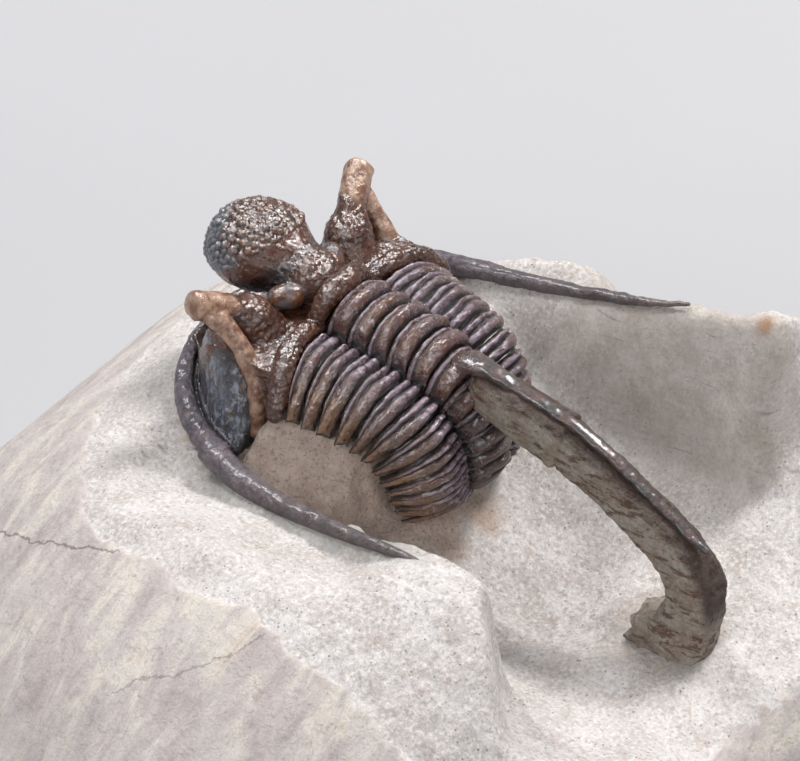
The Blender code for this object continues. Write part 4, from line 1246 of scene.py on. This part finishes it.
def cheek_finish():
    f = Finish("cheek_surface")
    slope = f.mask("slope")
    broad = f.noise(1.0, 4.0, 0.6)
    warped = f.mapped(f.place, (1.0, 1.0, 0.6))
    veins = f.noise(0.4, 5.0, 0.62, 0.8, warped)
    base = f.ramp(slope, (0.0, colour(0.46, 0.31, 0.20)), (0.22, colour(0.36, 0.22, 0.13)),
                  (0.34, colour(0.30, 0.29, 0.31)), (0.6, colour(0.35, 0.37, 0.41)),
                  (0.97, colour(0.27, 0.27, 0.31)))
    base = f.patch(base, broad, 0.42, 0.62, 0.6, colour(0.20, 0.17, 0.17))
    base = f.patch(base, f.noise(0.6, 4.0, 0.6), 0.56, 0.66, 0.5, colour(0.42, 0.33, 0.22))
    # painted highlight: the veins lightened to pale blue-grey
    base = f.patch(base, veins, 0.53, 0.62, 0.7, colour(0.56, 0.58, 0.63))
    base = f.mix(f.mask("crest"), base, colour(0.48, 0.44, 0.49))
    border = f.mix(f.steps(broad, 0.38, 0.62), colour(0.30, 0.27, 0.31), colour(0.40, 0.35, 0.38))
    border = f.patch(border, f.noise(0.22, 5.0, 0.65), 0.48, 0.68, 0.7, colour(0.20, 0.17, 0.16))
    border = f.patch(border, f.noise(0.5, 5.0, 0.65), 0.56, 0.68, 0.5, colour(0.50, 0.45, 0.41))
    base = f.mix(f.mask("border"), base, border)
    base = f.patch(base, f.mask("spine"), 0.05, 0.4, 0.5, colour(0.27, 0.23, 0.20))
    base = f.patch(base, f.mask("spine"), 0.6, 0.95, 0.45, colour(0.52, 0.48, 0.43))
    # painted shade: the cheek's furrow and underside darkened almost to black
    base = f.tint(base, "painted_shade_and_dark_tone", 0.9, colour(0.07, 0.055, 0.05))
    roughness = f.wander(0.18, 0.42)
    roughness = f.plus(roughness, f.times(f.mask("border"), 0.32))
    normal = f.bump(f.noise(0.08, 4.0, 0.6), 0.04)
    normal = f.bump(veins, 0.4, normal)
    return f.end(base, roughness, normal, 0.3, 0.6)


def rock_finish():
    f = Finish("stone_surface")
    worked = f.mask("worked")
    grit = f.noise(0.1, 5.0, 0.75)
    crumbs = f.noise(0.26, 5.0, 0.7)
    broad = f.noise(2.2, 5.0, 0.6)
    white = f.mix(f.steps(broad, 0.38, 0.62), colour(0.88, 0.86, 0.85), colour(0.81, 0.78, 0.76))
    white = f.patch(white, f.noise(0.9, 5.0, 0.65), 0.52, 0.68, 0.5, colour(0.78, 0.72, 0.69))
    grains = f.noise(0.17, 2.0, 0.6)
    white = f.patch(white, crumbs, 0.54, 0.66, 0.35, colour(0.66, 0.62, 0.60))
    white = f.patch(white, grains, 0.54, 0.66, 0.35, colour(0.58, 0.54, 0.52))
    white = f.patch(white, grains, 0.46, 0.38, 0.45, colour(0.98, 0.97, 0.96))
    specks = f.steps(f.cells(0.2), 0.3, 0.16)
    some = f.steps(f.noise(0.4, 3.0, 0.7), 0.54, 0.6)
    white = f.mix(f.times(f.times(specks, some), 0.6), white, colour(0.24, 0.21, 0.20))
    streaks = f.noise(0.9, 6.0, 0.68, 0.5, f.mapped(f.place, (0.22, 0.8, 0.3)))
    skin = f.ramp(streaks, (0.3, colour(0.64, 0.60, 0.59)), (0.44, colour(0.71, 0.67, 0.66)),
                  (0.53, colour(0.76, 0.72, 0.70)), (0.61, colour(0.83, 0.80, 0.76)),
                  (0.74, colour(0.74, 0.66, 0.59)))
    skin = f.patch(skin, broad, 0.4, 0.6, 0.45, colour(0.76, 0.735, 0.72))
    skin = f.patch(skin, f.noise(0.6, 5.0, 0.7), 0.58, 0.7, 0.5, colour(0.60, 0.53, 0.50))
    skin = f.patch(skin, grit, 0.5, 0.7, 0.4, colour(0.52, 0.47, 0.46))
    base = f.mix(worked, skin, white)
    tan = f.steps(f.noise(0.8, 5.0, 0.65), 0.38, 0.62)
    tan = f.mix(tan, colour(0.80, 0.71, 0.65), colour(0.71, 0.61, 0.55))
    tan = f.patch(tan, crumbs, 0.5, 0.64, 0.6, colour(0.80, 0.73, 0.66))
    tan = f.patch(tan, f.noise(0.14, 3.0, 0.7), 0.54, 0.62, 0.5, colour(0.36, 0.27, 0.22))
    base = f.tint(base, "tan", 0.85, tan)
    base = f.tint(base, "halo", 0.55, colour(0.56, 0.57, 0.54))
    lines = f.noise(0.5, 4.0, 0.65, 0.3, f.mapped(f.place, (0.2, 0.2, 2.5), turn=(0.25, 0.1, 0.0)))
    wall = f.steps(f.noise(1.2, 5.0, 0.65), 0.4, 0.62)
    wall = f.mix(wall, colour(0.80, 0.765, 0.73), colour(0.71, 0.66, 0.61))
    wall = f.patch(wall, lines, 0.64, 0.7, 0.6, colour(0.36, 0.32, 0.31))
    wall = f.patch(wall, grit, 0.5, 0.68, 0.35, colour(0.46, 0.41, 0.36))
    base = f.tint(base, "wall", 0.65, wall)
    base = f.tint(base, "foot", 0.4, colour(0.56, 0.50, 0.44))
    base = f.tint(base, "ochre", 0.8, colour(0.66, 0.45, 0.24))
    wiggle = f.times(f.calculate("SUBTRACT", f.noise(0.7, 5.0, 0.65), 0.5), 0.8)
    bare = f.steps(worked, 0.5, 0.1)
    for name, width, strength in (("crack", 0.07, 0.6), ("split", 0.05, 0.4)):
        away = f.calculate("ABSOLUTE", f.plus(f.mask(name), wiggle))
        fissure = f.times(f.times(f.steps(away, width, 0.3 * width), bare), strength)
        base = f.mix(fissure, base, colour(0.33, 0.26, 0.24))
    base = f.patch(base, f.mask("side"), 0.0, 1.0, 0.3, colour(0.68, 0.65, 0.62))
    roughness = f.steps(grit, 0.2, 0.8, 0.75, 0.95)
    normal = f.bump(grit, 0.1)
    normal = f.bump(f.mix(worked, f.noise(0.5, 5.0, 0.5), crumbs), 0.18, normal)
    return f.end(base, roughness, normal, 0.0, 0.35)


def strut_finish():
    f = Finish("strut_surface")
    broad = f.noise(1.1, 5.0, 0.65)
    grit = f.noise(0.13, 5.0, 0.75)
    base = f.mix(f.steps(broad, 0.38, 0.62), colour(0.64, 0.61, 0.56), colour(0.55, 0.49, 0.44))
    streaks = f.noise(0.32, 5.0, 0.68, 0.5, f.mapped(f.place, (1.0, 0.25, 0.9), turn=(0.4, 0.0, 0.0)))
    base = f.patch(base, streaks, 0.5, 0.6, 0.85, colour(0.34, 0.22, 0.17))
    base = f.patch(base, streaks, 0.44, 0.34, 0.6, colour(0.66, 0.64, 0.60))
    base = f.patch(base, grit, 0.52, 0.68, 0.5, colour(0.26, 0.22, 0.19))
    base = f.patch(base, grit, 0.44, 0.32, 0.7, colour(0.74, 0.71, 0.66))
    base = f.tint(base, "under", 0.45, colour(0.60, 0.56, 0.51))
    base = f.tint(base, "crest", 0.85, colour(0.23, 0.15, 0.12))
    base = f.tint(base, "mend", 0.6, colour(0.64, 0.57, 0.48))
    base = f.tint(base, "foot", 0.35, colour(0.50, 0.44, 0.41))
    roughness = f.steps(f.noise(0.3, 5.0, 0.6), 0.3, 0.7, 0.5, 0.85)
    normal = f.bump(grit, 0.12)
    normal = f.bump(f.noise(0.4, 5.0, 0.65), 0.28, normal)
    return f.end(base, roughness, normal, 0.0, 0.4)


def floor_finish():
    f = Finish("pale_floor")
    soft = f.noise(60.0, 3.0, 0.5)
    base = f.mix(soft, colour(0.60, 0.60, 0.61), colour(0.63, 0.63, 0.64))
    return f.end(base, 0.7, f.bump(f.noise(1.5, 3.0, 0.5), 0.01), 0.0, 0.3)


def dress(obj, node, material):
    """Give a piece its finish, let it stand for its solid, and tie it to the body."""
    obj.data.materials.append(material)
    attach(obj, "root")
    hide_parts(node)


# Floor, light and camera

AIM = Vector((6.598, 1.858, 16.52)) * MM
TO_RIGHT = Vector((0.606, -0.7955, 0.0))
TO_TOP = Vector((0.5219, 0.3976, 0.7547))
TO_CAMERA = Vector((-0.6004, -0.4573, 0.6561))
CAMERA_DISTANCE = 0.24
LENS = 280.8
SENSOR_WIDTH = 36.0
FLOOR_REACH = 900


def make_floor():
    points = FLOOR_REACH * np.array([(-1, -1, 0), (1, -1, 0), (1, 1, 0), (-1, 1, 0)]) + (0.0, 0.0, BASE_LEVEL)
    mesh = bpy.data.meshes.new("floor")
    mesh.from_pydata(to_metres(points).tolist(), [], [(0, 1, 2, 3)])
    obj = bpy.data.objects.new("floor", mesh)
    bpy.context.scene.collection.objects.link(obj)
    obj.data.materials.append(floor_finish())


def add_light(name, toward, distance, size, power, tint, only_gloss=False):
    """A soft square light that shines on the middle of the object."""
    data = bpy.data.lights.new(name, "AREA")
    data.shape = "SQUARE"
    data.size = size
    data.energy = power
    data.color = tint
    obj = bpy.data.objects.new(name, data)
    toward = Vector(toward).normalized()
    obj.location = AIM + toward * distance
    obj.rotation_euler = toward.to_track_quat("Z", "Y").to_euler()
    obj.visible_diffuse = not only_gloss
    bpy.context.scene.collection.objects.link(obj)


def make_light():
    add_light("key", (0.62, -0.12, 0.82), 0.3, 0.07, 1.1, (1.0, 0.98, 0.97))
    add_light("top", (0.1, 0.64, 0.76), 0.3, 0.05, 0.55, (1.0, 0.99, 0.98))
    add_light("fill", (-0.75, -0.1, 0.6), 0.35, 0.16, 0.55, (0.97, 0.98, 1.0))
    add_light("front", (-0.3, -0.85, 0.45), 0.35, 0.1, 0.25, (1.0, 0.99, 0.98))
    add_light("sheen", (0.35, 0.5, 0.79), 0.3, 0.06, 0.6, (0.96, 0.97, 1.0), True)
    add_light("spark", (-0.35, 0.25, 0.9), 0.3, 0.03, 0.3, (1.0, 1.0, 1.0), True)
    world = bpy.data.worlds.new("studio")
    world.use_nodes = True
    backdrop = world.node_tree.nodes["Background"]
    backdrop.inputs["Color"].default_value = (0.9, 0.94, 1.0, 1.0)
    backdrop.inputs["Strength"].default_value = 0.28
    bpy.context.scene.world = world
    bpy.context.scene.view_settings.view_transform = "Standard"


def make_camera():
    data = bpy.data.cameras.new("camera")
    data.sensor_fit = "HORIZONTAL"
    data.sensor_width = SENSOR_WIDTH
    data.lens = LENS
    data.clip_start = 0.01
    data.clip_end = 20.0
    obj = bpy.data.objects.new("camera", data)
    turn = Matrix((TO_RIGHT, TO_TOP, TO_CAMERA)).transposed().to_4x4()
    obj.matrix_world = Matrix.Translation(AIM + TO_CAMERA * CAMERA_DISTANCE) @ turn
    bpy.context.scene.collection.objects.link(obj)
    bpy.context.scene.camera = obj


SHELL = shell_finish()
HEAD = head_finish()
CHEEK = cheek_finish()
ROCK = rock_finish()
STRUT = strut_finish()

make_floor()
make_light()
make_camera()
make_rock()
make_strut()
make_cranidium()
make_cheek(-1.0, "left", LEFT_SPINE, LEFT_SPINE_RADII)
make_cheek(1.0, "right", RIGHT_SPINE, RIGHT_SPINE_RADII)
for segment in range(1, SEGMENTS + 1):
    make_segment(segment)
make_pygidium()
